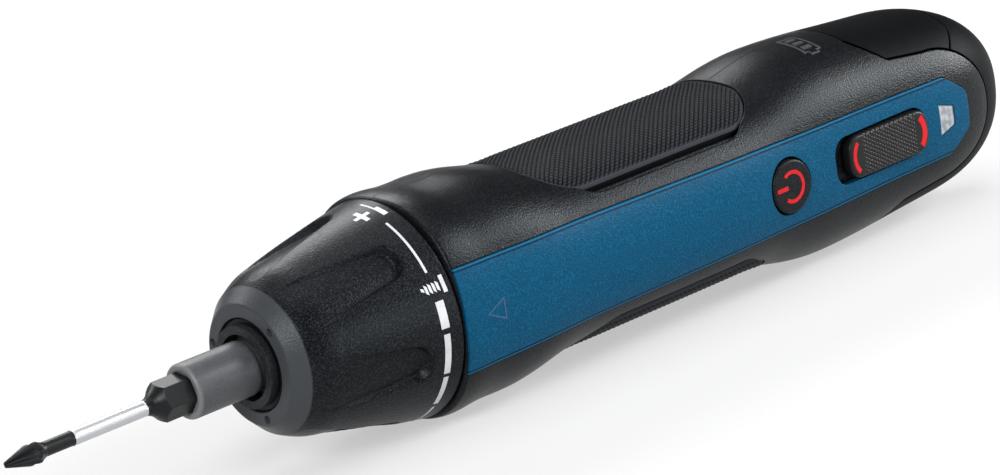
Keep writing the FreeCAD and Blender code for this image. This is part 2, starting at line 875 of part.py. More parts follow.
def make_motor_rotor():
    """The armature and commutator on the motor shaft."""
    core = x_cylinder(core_radius, core_start, core_end)
    slot = box((core_start - overrun, core_end + overrun), (-core_slot_width / 2, core_slot_width / 2),
               (core_hub_radius, tall))
    core = core.cut(ring_of(slot, core_slot_count))
    shaft = x_cylinder(shaft_radius, planet_one_start + part_gap, motor_rear + part_gap)
    commutator = x_cylinder(commutator_radius, commutator_start, commutator_end)
    return joined([core, shaft, commutator])


# Battery and boards
def make_cell():
    return x_cylinder(cell_radius, cell_start, cell_end)


def make_cell_contacts():
    """A nickel tab at each end of the cell."""
    front = x_cylinder(contact_radius, cell_start - part_gap - contact_thickness, cell_start - part_gap)
    rear = x_cylinder(contact_radius, cell_end + part_gap, cell_end + part_gap + contact_thickness)
    return Part.makeCompound([front, rear])


def make_control_board():
    return box((board_start, board_end), (board_face, board_y), (-board_half_height, board_half_height))


def on_board(x_range, depth, half):
    """A component standing on the board's outer face."""
    return box(x_range, (board_face - part_gap - depth, board_face - part_gap), (-half, half))


def make_start_switch():
    """The switch that the push arm closes."""
    start = arm_end + push_travel + start_switch_gap
    return on_board((start, start + start_switch_length), start_switch_depth, start_switch_half)


def make_power_switch():
    """The tactile switch behind the power button."""
    base = on_board((button_x - tact_half, button_x + tact_half), tact_depth, tact_half)
    top = board_face - part_gap - tact_depth
    reach = button_flange_thickness + button_travel + button_stop_gap - button_flange_y
    return joined([base, y_cylinder(tact_plunger_radius, reach, top, button_x, 0)])


def make_direction_switch_base():
    """The sliding contact block behind the direction switch."""
    front = slider_middle - slide_base_half_length - slider_travel
    rear = slider_middle + slide_base_half_length
    return on_board((front, rear), slide_base_depth, slide_base_half_height)


def make_status_led():
    middle = (lens_front + lens_rear) / 2
    return on_board((middle - led_half, middle + led_half), led_depth, led_half)


def make_charge_board():
    return box((charge_board_start, charge_board_end), (-charge_board_half, charge_board_half),
               (charge_board_z, charge_board_z + charge_board_thickness))


def make_usb_socket():
    """The charging socket, open towards the cover, with its contact tongue."""
    low = charge_board_z + charge_board_thickness + part_gap
    high = cheek_half_height + cap_gap
    shell = box((usb_start, usb_start + usb_thickness), (-usb_half_width, usb_half_width), (low, high))
    hollow = box((usb_start + usb_wall, usb_start + usb_thickness - usb_wall),
                 (usb_wall - usb_half_width, usb_half_width - usb_wall), (low + usb_wall, high + overrun))
    middle = usb_start + usb_thickness / 2
    tongue = box((middle - usb_tongue_thickness / 2, middle + usb_tongue_thickness / 2),
                 (-usb_tongue_half, usb_tongue_half), (low, high - usb_wall))
    return joined([shell.cut(hollow), tongue])


# Handle shell and its covers
def panel_face(gap):
    """The side panel's outline on the XY plane, with Y standing for height, grown by a gap."""
    corner = panel_rear - panel_corner_length
    upper = [Vector(panel_front - gap, panel_front_half + gap, 0),
             Vector(corner, panel_rear_half + gap, 0),
             Vector(panel_rear + gap, panel_rear_half - panel_corner_drop, 0)]
    lower = [Vector(point.x, -point.y, 0) for point in reversed(upper)]
    points = upper + lower
    return Part.Face(Part.makePolygon(points + points[:1]))


def panel_prism(gap):
    """The panel's outline pushed through the panel side, with its rear corners rounded."""
    prism = side_prism(panel_face(gap))
    corner = panel_rear - panel_corner_length - overrun
    upright = [edge for edge in prism.Edges
               if edge.BoundBox.XMin > corner and edge.BoundBox.YLength > tall / 2]
    return prism.makeFillet(panel_corner_round, upright)


def lens_face(gap):
    """The lens outline, narrower towards the rear."""
    front, rear = lens_front - gap, lens_rear + gap
    wide, slim = lens_front_half + gap, lens_rear_half + gap
    points = [Vector(front, -wide, 0), Vector(rear, -slim, 0), Vector(rear, slim, 0),
              Vector(front, wide, 0)]
    return Part.Face(Part.makePolygon(points + points[:1]))


def panel_openings():
    """The button hole, the switch slot and the lens window through the panel."""
    slot = rounded_plate((slot_front, slot_rear), (-slot_half_height, slot_half_height), slot_corner)
    button_hole = y_cylinder(button_hole_radius, -tall, 0, button_x, 0)
    return [button_hole, side_prism(slot), side_prism(lens_face(part_gap))]


def shell_openings():
    """What passes through the shell's wall behind the panel."""
    stem = ((slider_middle - slider_stem_half_length - slider_travel - moving_gap,
             slider_middle + slider_stem_half_length + moving_gap),
            (-tall, 0),
            (-slider_stem_half_height - moving_gap, slider_stem_half_height + moving_gap))
    slot = rounded_plate((slot_front, slot_rear), (-slot_half_height, slot_half_height), slot_corner)
    floor = box((slot_front - overrun, slot_rear + overrun), (-tall, moving_gap - slider_inner_y),
                (-tall, tall))
    button_hole = y_cylinder(button_hole_radius, -tall, 0, button_x, 0)
    return [button_hole, side_prism(lens_face(part_gap)), box(*stem), side_prism(slot).common(floor)]


def grip_prism(gap):
    """The soft grip's plan, pulled up through the top of the handle."""
    half = grip_half_width + gap
    face = rounded_plate((grip_front - gap, grip_rear + gap), (-half, half), grip_corner)
    return face.extrude(Vector(0, 0, tall))


def grip_moat():
    """The groove along the soft grip's sides, which runs out at the grip's ends."""
    half = grip_half_width + moat_width
    length = (grip_front + moat_end_inset, grip_rear - moat_end_inset)
    face = rounded_plate(length, (-half, half), grip_corner)
    return face.extrude(Vector(0, 0, tall)).cut(handle_solid(moat_depth))


def below(shape):
    """The shape mirrored to the underside."""
    return shape.mirror(Vector(0, 0, 0), Vector(0, 0, 1))


def make_grip():
    """The top soft grip, lying in its pocket and just proud of the shell."""
    return grip_prism(0.0).common(handle_solid(-grip_proud)).cut(handle_solid(grip_depth))


def shell_ribs():
    """Cross walls that hold the motor and the cell inside the handle."""
    ribs = []
    groups = ((motor_ribs, motor_radius, motor_rib_limit_y), (cell_ribs, cell_radius, rib_limit_y))
    for places, bore, limit in groups:
        for x in places:
            rib = box((x, x + rib_width), (limit, tall), (-tall, tall))
            ribs.append(rib.cut(x_cylinder(bore + part_gap, x - overrun, x + rib_width + overrun)))
    return ribs


def charge_rails():
    """Ledges that carry the charging board."""
    top = charge_board_z - part_gap
    limits = ((-rail_outer_y, -rail_inner_y), (rail_inner_y, rail_outer_y))
    return [box((charge_board_start, body_rear), limit, (top - rail_thickness, top)) for limit in limits]


def make_shells():
    """Both halves of the handle shell, split on the plane of the spindle's axis and the top."""
    form = handle_solid(0.0)
    rim = [edge for edge in form.Edges if abs(edge.BoundBox.XMax - body_front) < part_gap]
    outer = form.makeFillet(shell_front_round, rim).common(cheek_prism(0.0))
    room = handle_solid(shell_wall, body_front - overrun).common(cheek_prism(cheek_wall))
    room = room.cut(shell_ribs() + charge_rails())
    seat = x_cylinder(seat_radius + part_gap, body_front - overrun, wall_rear + part_gap)
    blank = outer.cut(room).cut(seat)
    pocket = grip_prism(part_gap).cut(handle_solid(grip_depth + part_gap))
    usb_hole = box((usb_start - part_gap, usb_start + usb_thickness + part_gap),
                   (-usb_half_width - part_gap, usb_half_width + part_gap), (charge_board_z, tall))
    moat = grip_moat()
    blank = blank.cut([pocket, below(pocket), moat, below(moat), usb_hole])
    limit = handle_solid(grip_depth + 2 * part_gap)
    bosses = []
    for x, z in screw_places:
        for side in (-1, 1):
            bosses.append(y_cylinder(boss_radius, -tall, tall, x, side * z).common(limit))
    blank = joined([blank] + bosses)
    left = blank.common(box((0, tall + body_rear), (seam_gap / 2, tall), (-tall, tall)))
    right = blank.common(box((0, tall + body_rear), (-tall, -seam_gap / 2), (-tall, tall)))
    for x, z in screw_places:
        for side in (-1, 1):
            left = left.cut(y_cylinder(screw_radius + part_gap, -overrun, tall, x, side * z))
            left = left.cut(y_cylinder(screw_head_radius + part_gap, screw_floor, tall, x, side * z))
            thread = y_cylinder(screw_radius + running_gap, screw_tip_y - part_gap, overrun, x, side * z)
            right = right.cut(thread)
    panel_pocket = panel_prism(part_gap).cut(handle_solid(panel_depth + part_gap))
    right = right.cut([panel_pocket] + shell_openings())
    return left, right


def make_shell_screws():
    """The screws that hold the shell halves together, driven from the side away from the panel."""
    screws = []
    for x, z in screw_places:
        for side in (-1, 1):
            seat = screw_floor + part_gap
            head = y_cylinder(screw_head_radius, seat, seat + screw_head_height, x, side * z)
            shank = y_cylinder(screw_radius, screw_tip_y, seat + screw_head_height, x, side * z)
            screws.append(joined([head, shank]))
    return Part.makeCompound(screws)


def make_side_panel():
    """The coloured panel, following the handle's side."""
    plate = panel_prism(0.0).common(handle_solid(-panel_proud))
    return plate.cut(handle_solid(panel_depth)).cut(panel_openings())


def make_led_lens():
    """The clear window that carries the status light out."""
    prism = side_prism(lens_face(0.0)).common(handle_solid(0.0))
    inner = board_face - led_depth - 2 * part_gap - moving_gap
    return prism.common(box((lens_front - overrun, lens_rear + overrun), (-tall, inner), (-tall, tall)))


def make_power_button():
    """The round button with its retaining flange."""
    head = y_cylinder(button_radius, -button_outer_y, -button_flange_y, button_x, 0)
    rim = [edge for edge in head.Edges if abs(edge.CenterOfMass.y + button_outer_y) < part_gap]
    head = head.makeFillet(button_edge, rim)
    inner = button_flange_thickness - button_flange_y
    flange = y_cylinder(button_flange_radius, -button_flange_y, inner, button_x, 0)
    return joined([head, flange])


def make_direction_switch():
    """The sliding thumb switch with the stem that moves the contact block."""
    length = (slider_front, slider_rear)
    face = rounded_plate(length, (-slider_half_height, slider_half_height), slider_corner)
    head = side_prism(face).common(box(length, (-slider_outer_y, -slider_inner_y), (-tall, tall)))
    rim = [edge for edge in head.Edges if abs(edge.CenterOfMass.y + slider_outer_y) < part_gap]
    head = head.makeFillet(slider_edge, rim)
    stem_end = board_face - slide_base_depth - 2 * part_gap
    stem = box((slider_middle - slider_stem_half_length, slider_middle + slider_stem_half_length),
               (-slider_inner_y - slider_edge, stem_end),
               (-slider_stem_half_height, slider_stem_half_height))
    return joined([head, stem])


def behind_parting():
    """All of the handle's form behind the rear cap's parting line."""
    region = handle_solid(0.0).cut(cheek_prism(-cap_gap))
    return region.common(box((tongue_front - overrun, body_rear + overrun), (-tall, tall), (-tall, tall)))


def cover_limits(gap):
    """The part of the parting line's outer side that opens as the charging cover."""
    front = tongue_front - overrun
    turn, rear = cover_turn_x + gap, cover_rear + gap
    outline = [(front, 0), (turn, 0), (turn, cover_turn_z - gap), (rear, cover_rear_low_z - gap),
               (rear, tall), (front, tall)]
    points = [Vector(x, -tall, z) for x, z in outline]
    return Part.Face(Part.makePolygon(points + points[:1])).extrude(Vector(0, 2 * tall, 0))


def make_rear_cap():
    """The soft bumper round the rear end."""
    room = y_cylinder(hinge_room_radius, -hinge_room_half, hinge_room_half, hinge_x, hinge_z)
    cap = behind_parting().cut([cover_limits(moving_gap), room])
    rear_half = box((cheek_center, body_rear), (-tall, tall), (-tall, tall))
    return cap.cut(handle_solid(cap_wall).common(rear_half))


def make_charging_cover():
    """The lift-up cover over the charging socket, with its hinge rod and the plug that seals it."""
    cover = behind_parting().common(cover_limits(0.0))
    skin = cover.cut(handle_solid(cover_wall))
    low = cheek_half_height + cap_gap + cover_plug_gap
    plug = box((usb_start, usb_start + usb_thickness), (-usb_half_width, usb_half_width), (low, tall))
    plug = plug.common(handle_solid(cover_wall / 2))
    rod = y_cylinder(hinge_radius, -hinge_half, hinge_half, hinge_x, hinge_z)
    return joined([skin, plug, rod])


def make_all():
    """Every piece by the name of its node."""
    left, right = make_shells()
    grip = make_grip()
    pieces = {
        "left_shell": left,
        "right_shell": right,
        "side_panel": make_side_panel(),
        "led_lens": make_led_lens(),
        "top_grip": grip,
        "bottom_grip": below(grip),
        "rear_cap": make_rear_cap(),
        "charging_cover": make_charging_cover(),
        "shell_screws": make_shell_screws(),
        "power_button": make_power_button(),
        "direction_switch": make_direction_switch(),
        "torque_collar": make_collar(),
        "collar_clip": make_collar_clip(),
        "clutch_nut": make_clutch_nut(),
        "clutch_spring": make_clutch_spring(),
        "clutch_washer": make_clutch_washer(),
        "clutch_pins": make_clutch_pins(),
        "gearbox_housing": make_gearbox_housing(),
        "nose_bush": make_nose_bush(),
        "bit_holder": make_holder(),
        "bit_magnet": make_magnet(),
        "driver_bit": make_bit(),
        "push_sleeve": make_push_sleeve(),
        "push_spring": make_push_spring(),
        "ring_gear": make_ring_gear(),
        "output_carrier": make_carrier_two(),
        "first_carrier": make_carrier_one(),
        "motor_pinion": make_pinion(),
        "motor_plate": make_motor_plate(),
        "motor_screws": make_motor_screws(),
        "motor_can": make_motor_can(),
        "motor_magnets": make_motor_magnets(),
        "motor_end_cap": make_motor_end_cap(),
        "motor_rotor": make_motor_rotor(),
        "battery_cell": make_cell(),
        "cell_contacts": make_cell_contacts(),
        "control_board": make_control_board(),
        "start_switch": make_start_switch(),
        "power_switch": make_power_switch(),
        "direction_switch_base": make_direction_switch_base(),
        "status_led": make_status_led(),
        "charge_board": make_charge_board(),
        "usb_socket": make_usb_socket(),
    }
    stages = (("first", planet_one_start, planet_one_end), ("second", planet_two_start, planet_two_end))
    for stage, start, end in stages:
        for index, shape in enumerate(ring_of(planet(start, end), planet_count)):
            pieces["{}_planet_{}".format(stage, index + 1)] = shape
    return pieces


os.makedirs("parts", exist_ok=True)
for name, shape in make_all().items():
    print(name, shape.isValid(), len(shape.Solids), round(shape.Volume, 1))
    shape.exportStep(os.path.join("parts", name + ".step"))
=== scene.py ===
"""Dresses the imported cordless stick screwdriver: surfaces, finishes, stage and camera."""
import math

import bmesh
import bpy
import numpy as np
from bpy.props import FloatProperty, FloatVectorProperty, IntProperty, PointerProperty
from mathutils import Matrix, Vector


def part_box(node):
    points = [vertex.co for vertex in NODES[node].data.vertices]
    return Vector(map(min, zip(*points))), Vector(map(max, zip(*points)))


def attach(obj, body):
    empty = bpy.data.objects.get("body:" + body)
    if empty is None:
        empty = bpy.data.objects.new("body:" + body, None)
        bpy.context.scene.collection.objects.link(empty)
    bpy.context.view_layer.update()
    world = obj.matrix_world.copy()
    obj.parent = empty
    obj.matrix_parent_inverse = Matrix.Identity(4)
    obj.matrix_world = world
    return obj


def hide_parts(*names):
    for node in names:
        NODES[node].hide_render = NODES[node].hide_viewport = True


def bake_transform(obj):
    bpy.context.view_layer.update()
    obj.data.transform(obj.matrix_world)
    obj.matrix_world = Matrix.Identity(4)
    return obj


bl_info = {
    "name": "Stick screwdriver",
    "version": (1, 0, 0),
    "blender": (4, 5, 0),
    "location": "View3D > Sidebar > Driver",
    "description": "Builds the looks of a cordless stick screwdriver round its packed frame",
    "category": "Object",
}

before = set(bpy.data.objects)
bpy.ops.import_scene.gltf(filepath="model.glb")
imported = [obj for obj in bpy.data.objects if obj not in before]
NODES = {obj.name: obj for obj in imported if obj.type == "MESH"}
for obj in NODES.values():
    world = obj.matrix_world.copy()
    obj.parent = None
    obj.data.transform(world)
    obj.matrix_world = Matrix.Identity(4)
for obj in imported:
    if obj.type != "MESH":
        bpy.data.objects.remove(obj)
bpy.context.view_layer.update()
MM = 0.001
TAU = 2 * math.pi


# Sizes and colours that a user would change

def colour(name, description, default):
    """A colour property, written in linear light."""
    return FloatVectorProperty(name=name, description=description, default=default, size=3,
                               min=0.0, max=1.0, subtype="COLOR")


def length(name, description, default):
    """A length property, written and shown in millimetres."""
    return FloatProperty(name=name, description=description, default=default, unit="CAMERA")


class DriverColours(bpy.types.PropertyGroup):
    """Colours of the outer finishes."""
    shell: colour("Shell", "Moulded handle and collar", (0.0036, 0.0041, 0.0049))
    # The collar's face and chamfer are the same black plastic as the shell, painted about ten times lighter:
    # painted light on the face and chamfer.
    face: colour("Collar face", "Front face and chamfer of the collar", (0.040, 0.043, 0.047))
    panel: colour("Panel", "Coloured side panel", (0.0014, 0.054, 0.114))
    grip: colour("Grip", "Soft ribbed inserts", (0.0036, 0.0040, 0.0047))
    cap: colour("Cap", "Rubber rear cap and cover", (0.0022, 0.0026, 0.0032))
    mark: colour("Marks", "Signs on the button and the switch", (0.44, 0.006, 0.010))
    print_white: colour("Print", "Scale printed on the collar", (0.48, 0.49, 0.51))
    holder: colour("Holder", "Oxidised steel of the bit holder", (0.036, 0.039, 0.044))
    shaft: colour("Shaft", "Bare steel of the bit", (0.50, 0.51, 0.53))


class HandleSizes(bpy.types.PropertyGroup):
    """The handle's form, as the frame has it."""
    section_power: FloatProperty(name="Section power", description="Squareness of the cross section",
                                 default=2.3)
    front_half_height: length("Front half height", "At the collar", 20.15)
    waist_half_height: length("Waist half height", "At the soft grips", 17.15)
    hump_half_height: length("Hump half height", "Behind the grips", 20.3)
    tail_half_height: length("Tail half height", "Before the rear end", 18.5)
    front_half_width: length("Front half width", "At the collar", 20.15)
    waist_half_width: length("Waist half width", "At the soft grips", 19.9)
    tail_half_width: length("Tail half width", "Before the rear end", 17.9)


class CollarSizes(bpy.types.PropertyGroup):
    """The torque collar."""
    front: length("Front", "Place of the front face", 14.57)
    rear: length("Rear", "Place of the rear edge", 45.5)
    face_radius: length("Face radius", "Outer radius of the front face", 10.9)
    radius: length("Radius", "Radius at the rear edge", 20.15)
    recess_depth: length("Recess depth", "Depth of a finger recess at its rear", 1.8)
    recess_count: IntProperty(name="Recesses", description="Finger recesses round the collar", default=6,
                              min=1)


class GripSizes(bpy.types.PropertyGroup):
    """The soft grips."""
    front: length("Front", "Front end of a grip", 74.0)
    rear: length("Rear", "Rear end of a grip", 128.5)
    half_width: length("Half width", "Half of the width across the tool", 14.2)
    corner: length("Corner", "Corner radius in plan", 9.0)
    rib_pitch: length("Rib pitch", "Distance between ribs", 1.17)
    rib_height: length("Rib height", "Height of a rib", 0.12)
    rib_slant: FloatProperty(name="Rib slant", description="Way along the tool for each way round it",
                             default=1.13)
    knob_pitch: length("Knob pitch", "Distance between knobs along a rib", 0.58)


class StageSizes(bpy.types.PropertyGroup):
    """Camera and light."""
    lens_mm: length("Lens", "Focal length on a 36 mm sensor", 144.5)
    light: FloatProperty(name="Light", description="Strength of the lamps", default=1.0)


# Arrays to meshes

def ease(x, start, end):
    """Smooth step: 3s^2 - 2s^3 of the share s of the way from start to end."""
    share = np.clip((x - start) / (end - start), 0.0, 1.0)
    return share * share * (3 - 2 * share)


def smooth_curve(knots, values, x):
    """Cubic Hermite curve through the knots, each tangent the slope between its neighbours."""
    knots = np.asarray(knots, float)
    values = np.asarray(values, float)
    slopes = np.gradient(values, knots)
    index = np.clip(np.searchsorted(knots, x) - 1, 0, len(knots) - 2)
    step = knots[index + 1] - knots[index]
    t = (x - knots[index]) / step
    low, high = values[index], values[index + 1]
    return ((1 + 2 * t) * (1 - t) ** 2 * low + t * (1 - t) ** 2 * step * slopes[index]
            + t * t * (3 - 2 * t) * high + t * t * (t - 1) * step * slopes[index + 1])


def dense(corners, step):
    """Points along a polyline of (x, r) corners, about one step apart."""
    corners = np.asarray(corners, float)
    runs = []
    for low, high in zip(corners[:-1], corners[1:]):
        count = max(1, int(round(np.linalg.norm(high - low) / step)))
        runs.append(low + (high - low) * (np.arange(count) / count)[:, None])
    return np.concatenate(runs + [corners[-1:]])


def arc(center, radius, start_deg, end_deg, count):
    """Points of a circular arc in a plane."""
    angles = np.radians(np.linspace(start_deg, end_deg, count))
    return np.stack([center[0] + radius * np.cos(angles), center[1] + radius * np.sin(angles)], -1)


def ring(count):
    """Even angles once round."""
    return np.arange(count) * TAU / count


def grid(first, second):
    """Two parameters over a whole grid, the first down its rows and the second along its columns."""
    return np.meshgrid(first, second, indexing="ij")


def grid_faces(rows, columns, wrap_rows=False, wrap_columns=False):
    """Quads of a grid of points, closed over its ends where asked."""
    a, b = grid(np.arange(rows if wrap_rows else rows - 1),
                np.arange(columns if wrap_columns else columns - 1))
    down, along = (a + 1) % rows, (b + 1) % columns
    quads = [a * columns + b, a * columns + along, down * columns + along, down * columns + b]
    return np.stack(quads, -1).reshape(-1, 4)


def capped_faces(rows, columns):
    """A tube of rings with a flat face over each end."""
    faces = grid_faces(rows, columns, wrap_columns=True).tolist()
    faces.append(list(range(columns))[::-1])
    faces.append(list(range((rows - 1) * columns, rows * columns)))
    return faces


def plate(outer, inner):
    """A closed plate: an outer grid of points, an inner grid behind it, and the wall between their edges."""
    rows, columns = outer.shape[:2]
    count = rows * columns
    front = grid_faces(rows, columns)
    index = np.arange(count).reshape(rows, columns)
    edge = np.concatenate([index[0, :-1], index[:-1, -1], index[-1, :0:-1], index[:0:-1, 0]])
    after = np.roll(edge, -1)
    wall = np.stack([after, edge, edge + count, after + count], -1)
    faces = np.concatenate([front, front[:, ::-1] + count, wall])
    return np.concatenate([outer.reshape(-1, 3), inner.reshape(-1, 3)]), faces


def joined(parts):
    """Several (points, faces) as one."""
    points, faces, count = [], [], 0
    for p, f in parts:
        points.append(np.asarray(p).reshape(-1, 3))
        faces.extend((np.asarray(f) + count).tolist())
        count += len(points[-1])
    return np.concatenate(points), faces


def placed(name, data):
    """A new object in the scene."""
    thing = bpy.data.objects.new(name, data)
    bpy.context.scene.collection.objects.link(thing)
    return thing


def turn_outwards(mesh):
    """Turns a closed mesh's faces outwards."""
    work = bmesh.new()
    work.from_mesh(mesh)
    bmesh.ops.recalc_face_normals(work, faces=work.faces)
    work.to_mesh(mesh)
    work.free()


def new_piece(name, points, faces, material, body, smooth_deg=40.0):
    """A mesh object at the origin from points in millimetres, riding on a body if one is given."""
    mesh = bpy.data.meshes.new(name)
    places = np.asarray(points).reshape(-1, 3) * MM
    mesh.from_pydata(places.tolist(), [], [list(map(int, face)) for face in faces])
    turn_outwards(mesh)
    mesh.validate()
    mesh.shade_smooth()
    mesh.set_sharp_from_angle(angle=math.radians(smooth_deg))
    piece = placed(name, mesh)
    mesh.materials.append(material)
    if body:
        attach(piece, body)
    return piece


# The handle's surface

WAIST_RUN, HUMP_RUN, TAIL_RUN = (61.0, 80.0), (121.0, 142.0), (147.0, 176.0)
TAPER_RUN = (110.0, 162.0)


def handle_sizes(x, proud):
    """Half height and half width of the handle at x, by smooth steps between its stations, grown by proud."""
    s = bpy.context.scene.driver_handle
    high = (s.front_half_height
            + (s.waist_half_height - s.front_half_height) * ease(x, *WAIST_RUN)
            + (s.hump_half_height - s.waist_half_height) * ease(x, *HUMP_RUN)
            + (s.tail_half_height - s.hump_half_height) * ease(x, *TAIL_RUN))
    wide = (s.front_half_width
            + (s.waist_half_width - s.front_half_width) * ease(x, *WAIST_RUN)
            + (s.tail_half_width - s.waist_half_width) * ease(x, *TAPER_RUN))
    return high + proud, wide + proud


def section_reach(way, half, reach):
    """The superellipse |way / half|^n + |r / reach|^n = 1, solved for r."""
    power = bpy.context.scene.driver_handle.section_power
    return reach * (1 - (np.abs(way) / half) ** power) ** (1 / power)


def handle_top(x, y, proud):
    """Points on the upper side, from the section solved for z."""
    high, wide = handle_sizes(x, proud)
    return np.stack([x, y, section_reach(y, wide, high)], -1)


def handle_side(x, z, proud):
    """Points on the panel side, from the section solved for y."""
    high, wide = handle_sizes(x, proud)
    return np.stack([x, -section_reach(z, high, wide), z], -1)


# Finishes

COOL_GLOSS = (0.84, 0.94, 1.0, 1.0)
EDGE_ROUND = 0.3
PANEL_EDGE = ((46.3, 9.5), (173.5, 7.6))
SLIDER_FRONT, SLIDER_REAR, SLIDER_TOP = 144.1, 165.7, -19.2
DIAMOND_PITCH, DIAMOND_SLANT, DIAMOND_FIELD = 1.3, 1.6, 7.2
GRIP_ROUND = 17.5
# Below RIM_START, on the grip's wall, the relief is nought and the colour is painted dark: painted shade under the
# rim.
RIM_START, RIM_END, RIB_START = 0.08, 0.4, 0.55


class Finish:
    """A node material with the shader's sockets set, and patterns on Object coordinates."""

    def __init__(self, name, base, rough, metal=0.0, specular=0.5):
        self.material = bpy.data.materials.new(name)
        self.material.use_nodes = True
        self.nodes = self.material.node_tree.nodes
        self.links = self.material.node_tree.links
        self.shader = self.nodes["Principled BSDF"]
        self.base = tuple(base)
        self.set("Base Color", (*base, 1.0))
        self.set("Roughness", rough)
        self.set("Metallic", metal)
        self.set("Specular IOR Level", specular)
        self.place = self.add("ShaderNodeTexCoord").outputs["Object"]

    def set(self, socket, value):
        """A value of the shader that is the same all over."""
        self.shader.inputs[socket].default_value = value

    def feed(self, socket, source):
        """A value of the shader that follows a pattern."""
        self.links.new(source, self.shader.inputs[socket])

    def add(self, kind, inputs=None, **settings):
        """A node with its settings, and its inputs by name or number, each a value or another node's output."""
        node = self.nodes.new(kind)
        for name, value in settings.items():
            setattr(node, name, value)
        for name, value in (inputs or {}).items():
            if isinstance(value, bpy.types.NodeSocket):
                self.links.new(value, node.inputs[name])
            else:
                node.inputs[name].default_value = value
        return node

    def math(self, operation, first, second=0.0):
        """A sum or function of one or two patterns or numbers."""
        return self.add("ShaderNodeMath", {0: first, 1: second}, operation=operation).outputs[0]

    def along(self, axis):
        """One coordinate."""
        return self.add("ShaderNodeSeparateXYZ", {"Vector": self.place}).outputs[axis]

    def noise(self, size_mm, detail=2.0, factors=None):
        """Noise whose lumps are about size_mm across, drawn finer along each axis by its factor."""
        place = self.place
        if factors:
            place = self.add("ShaderNodeMapping", {"Vector": place, "Scale": factors}).outputs["Vector"]
        return self.add("ShaderNodeTexNoise", {"Vector": place, "Scale": 1.0 / (size_mm * MM),
                                               "Detail": detail}).outputs["Fac"]

    def spread(self, source, low, high, start=0.0, end=1.0):
        """A pattern between two levels, stretched to run from start to end."""
        return self.add("ShaderNodeMapRange", {"Value": source, "From Min": low, "From Max": high,
                                               "To Min": start, "To Max": end}).outputs["Result"]

    def tint(self, source, low, high, dark, light):
        """Colour varied from dark to light times the base between two levels of a pattern."""
        node = self.add("ShaderNodeValToRGB", {"Fac": source})
        for element, place, share in zip(node.color_ramp.elements, (low, high), (dark, light)):
            element.position = place
            element.color = (*(min(1.0, value * share) for value in self.base), 1.0)
        self.feed("Base Color", node.outputs["Color"])

    def before(self, source, place_mm, tone, soft_mm):
        """Another colour where a distance is under a place, with a soft edge."""
        share = self.spread(source, place_mm * MM, (place_mm + soft_mm) * MM)
        under = self.shader.inputs["Base Color"].links[0].from_socket
        mix = self.add("ShaderNodeMixRGB", {"Fac": share, "Color1": (*tone, 1.0), "Color2": under})
        self.feed("Base Color", mix.outputs["Color"])

    def stripes(self, axis, edges):
        """Colours along an axis: (place in mm, colour) with hard edges, the first from the far minus end."""
        low, high = edges[0][0], edges[-1][0] + 1.0
        share = self.math("DIVIDE", self.math("SUBTRACT", self.along(axis), low * MM), (high - low) * MM)
        node = self.add("ShaderNodeValToRGB", {"Fac": share})
        node.color_ramp.interpolation = "CONSTANT"
        elements = node.color_ramp.elements
        elements.remove(elements[-1])
        for index, (place, tone) in enumerate(edges):
            where = (place - low) / (high - low)
            element = elements[0] if index == 0 else elements.new(where)
            element.position = where
            element.color = (*tone, 1.0)
        return node.outputs["Color"]

    def rough(self, source, low, high):
        """Roughness varied between two values by a pattern."""
        self.feed("Roughness", self.spread(source, 0.0, 1.0, low, high))

    def edges(self, radius_mm):
        """Softly broken edges: the shading normal rounded over a radius."""
        self.feed("Normal", self.add("ShaderNodeBevel", {"Radius": radius_mm * MM}, samples=6).outputs["Normal"])

    def bump(self, source, height_mm, strength=1.0):
        """Relief from a pattern, stacked on any relief before it."""
        node = self.add("ShaderNodeBump", {"Strength": strength, "Distance": height_mm * MM, "Height": source})
        socket = self.shader.inputs["Normal"]
        if socket.is_linked:
            self.links.new(socket.links[0].from_socket, node.inputs["Normal"])
        self.feed("Normal", node.outputs["Normal"])


def grained_plastic(name, base, rough=0.33, gloss=0.11, grain_mm=0.32, height_mm=0.07, painted_glint=3.2, bands=None):
    """Moulded plastic with a spark-eroded grain, painted glints and softly broken edges: the grain's light specks
    are the base colour raised several times, a painted glint.
    bands gives a distance by its nodes, and then places, the colours under them and their soft edges."""
    f = Finish(name, base, rough, specular=gloss)
    grain = f.noise(grain_mm, detail=1.0)
    # Painted glint: the grain's light specks are the base colour raised several times to stand in for light
    # sparkling off the grain; the darker specks are the grain's own tone.
    f.tint(grain, 0.46, 0.74, dark=0.8, light=painted_glint)
    if bands:
        source = bands[0](f)
        for place, tone, soft in bands[1:]:
            f.before(source, place, tone, soft)
    f.set("Specular Tint", COOL_GLOSS)
    f.rough(f.noise(grain_mm * 0.8), rough - 0.12, rough + 0.12)
    f.edges(EDGE_ROUND)
    f.bump(grain, height_mm)
    return f.material


def along_spindle(f):
    """The place along the spindle."""
    return f.along("X")


def inside_panel(f):
    """How far a point lies inside the panel's straight edges, whose half height falls evenly to the rear."""
    (front, high), (rear, low) = PANEL_EDGE
    fall = (high - low) / (rear - front)
    edge = f.math("SUBTRACT", (high + fall * front) * MM, f.math("MULTIPLY", f.along("X"), fall))
    return f.math("SUBTRACT", edge, f.math("ABSOLUTE", f.along("Z")))


def rubber(name, base, rough):
    """Soft rubber with a faint mottle and a very fine matt grain."""
    f = Finish(name, base, rough, specular=0.035)
    f.tint(f.noise(2.4, detail=4.0), 0.3, 0.75, dark=0.85, light=1.25)
    f.rough(f.noise(0.5), rough - 0.08, rough + 0.06)
    f.edges(EDGE_ROUND)
    f.bump(f.noise(0.22), height_mm=0.012, strength=0.6)
    return f.material


def smooth_plastic(name, base, rough, gloss=0.5):
    """Plain moulded plastic with a faint orange peel."""
    f = Finish(name, base, rough, specular=gloss)
    f.tint(f.noise(3.0), 0.3, 0.7, dark=0.92, light=1.1)
    f.rough(f.noise(0.8), rough - 0.06, rough + 0.06)
    f.bump(f.noise(0.5), height_mm=0.01, strength=0.5)
    return f.material


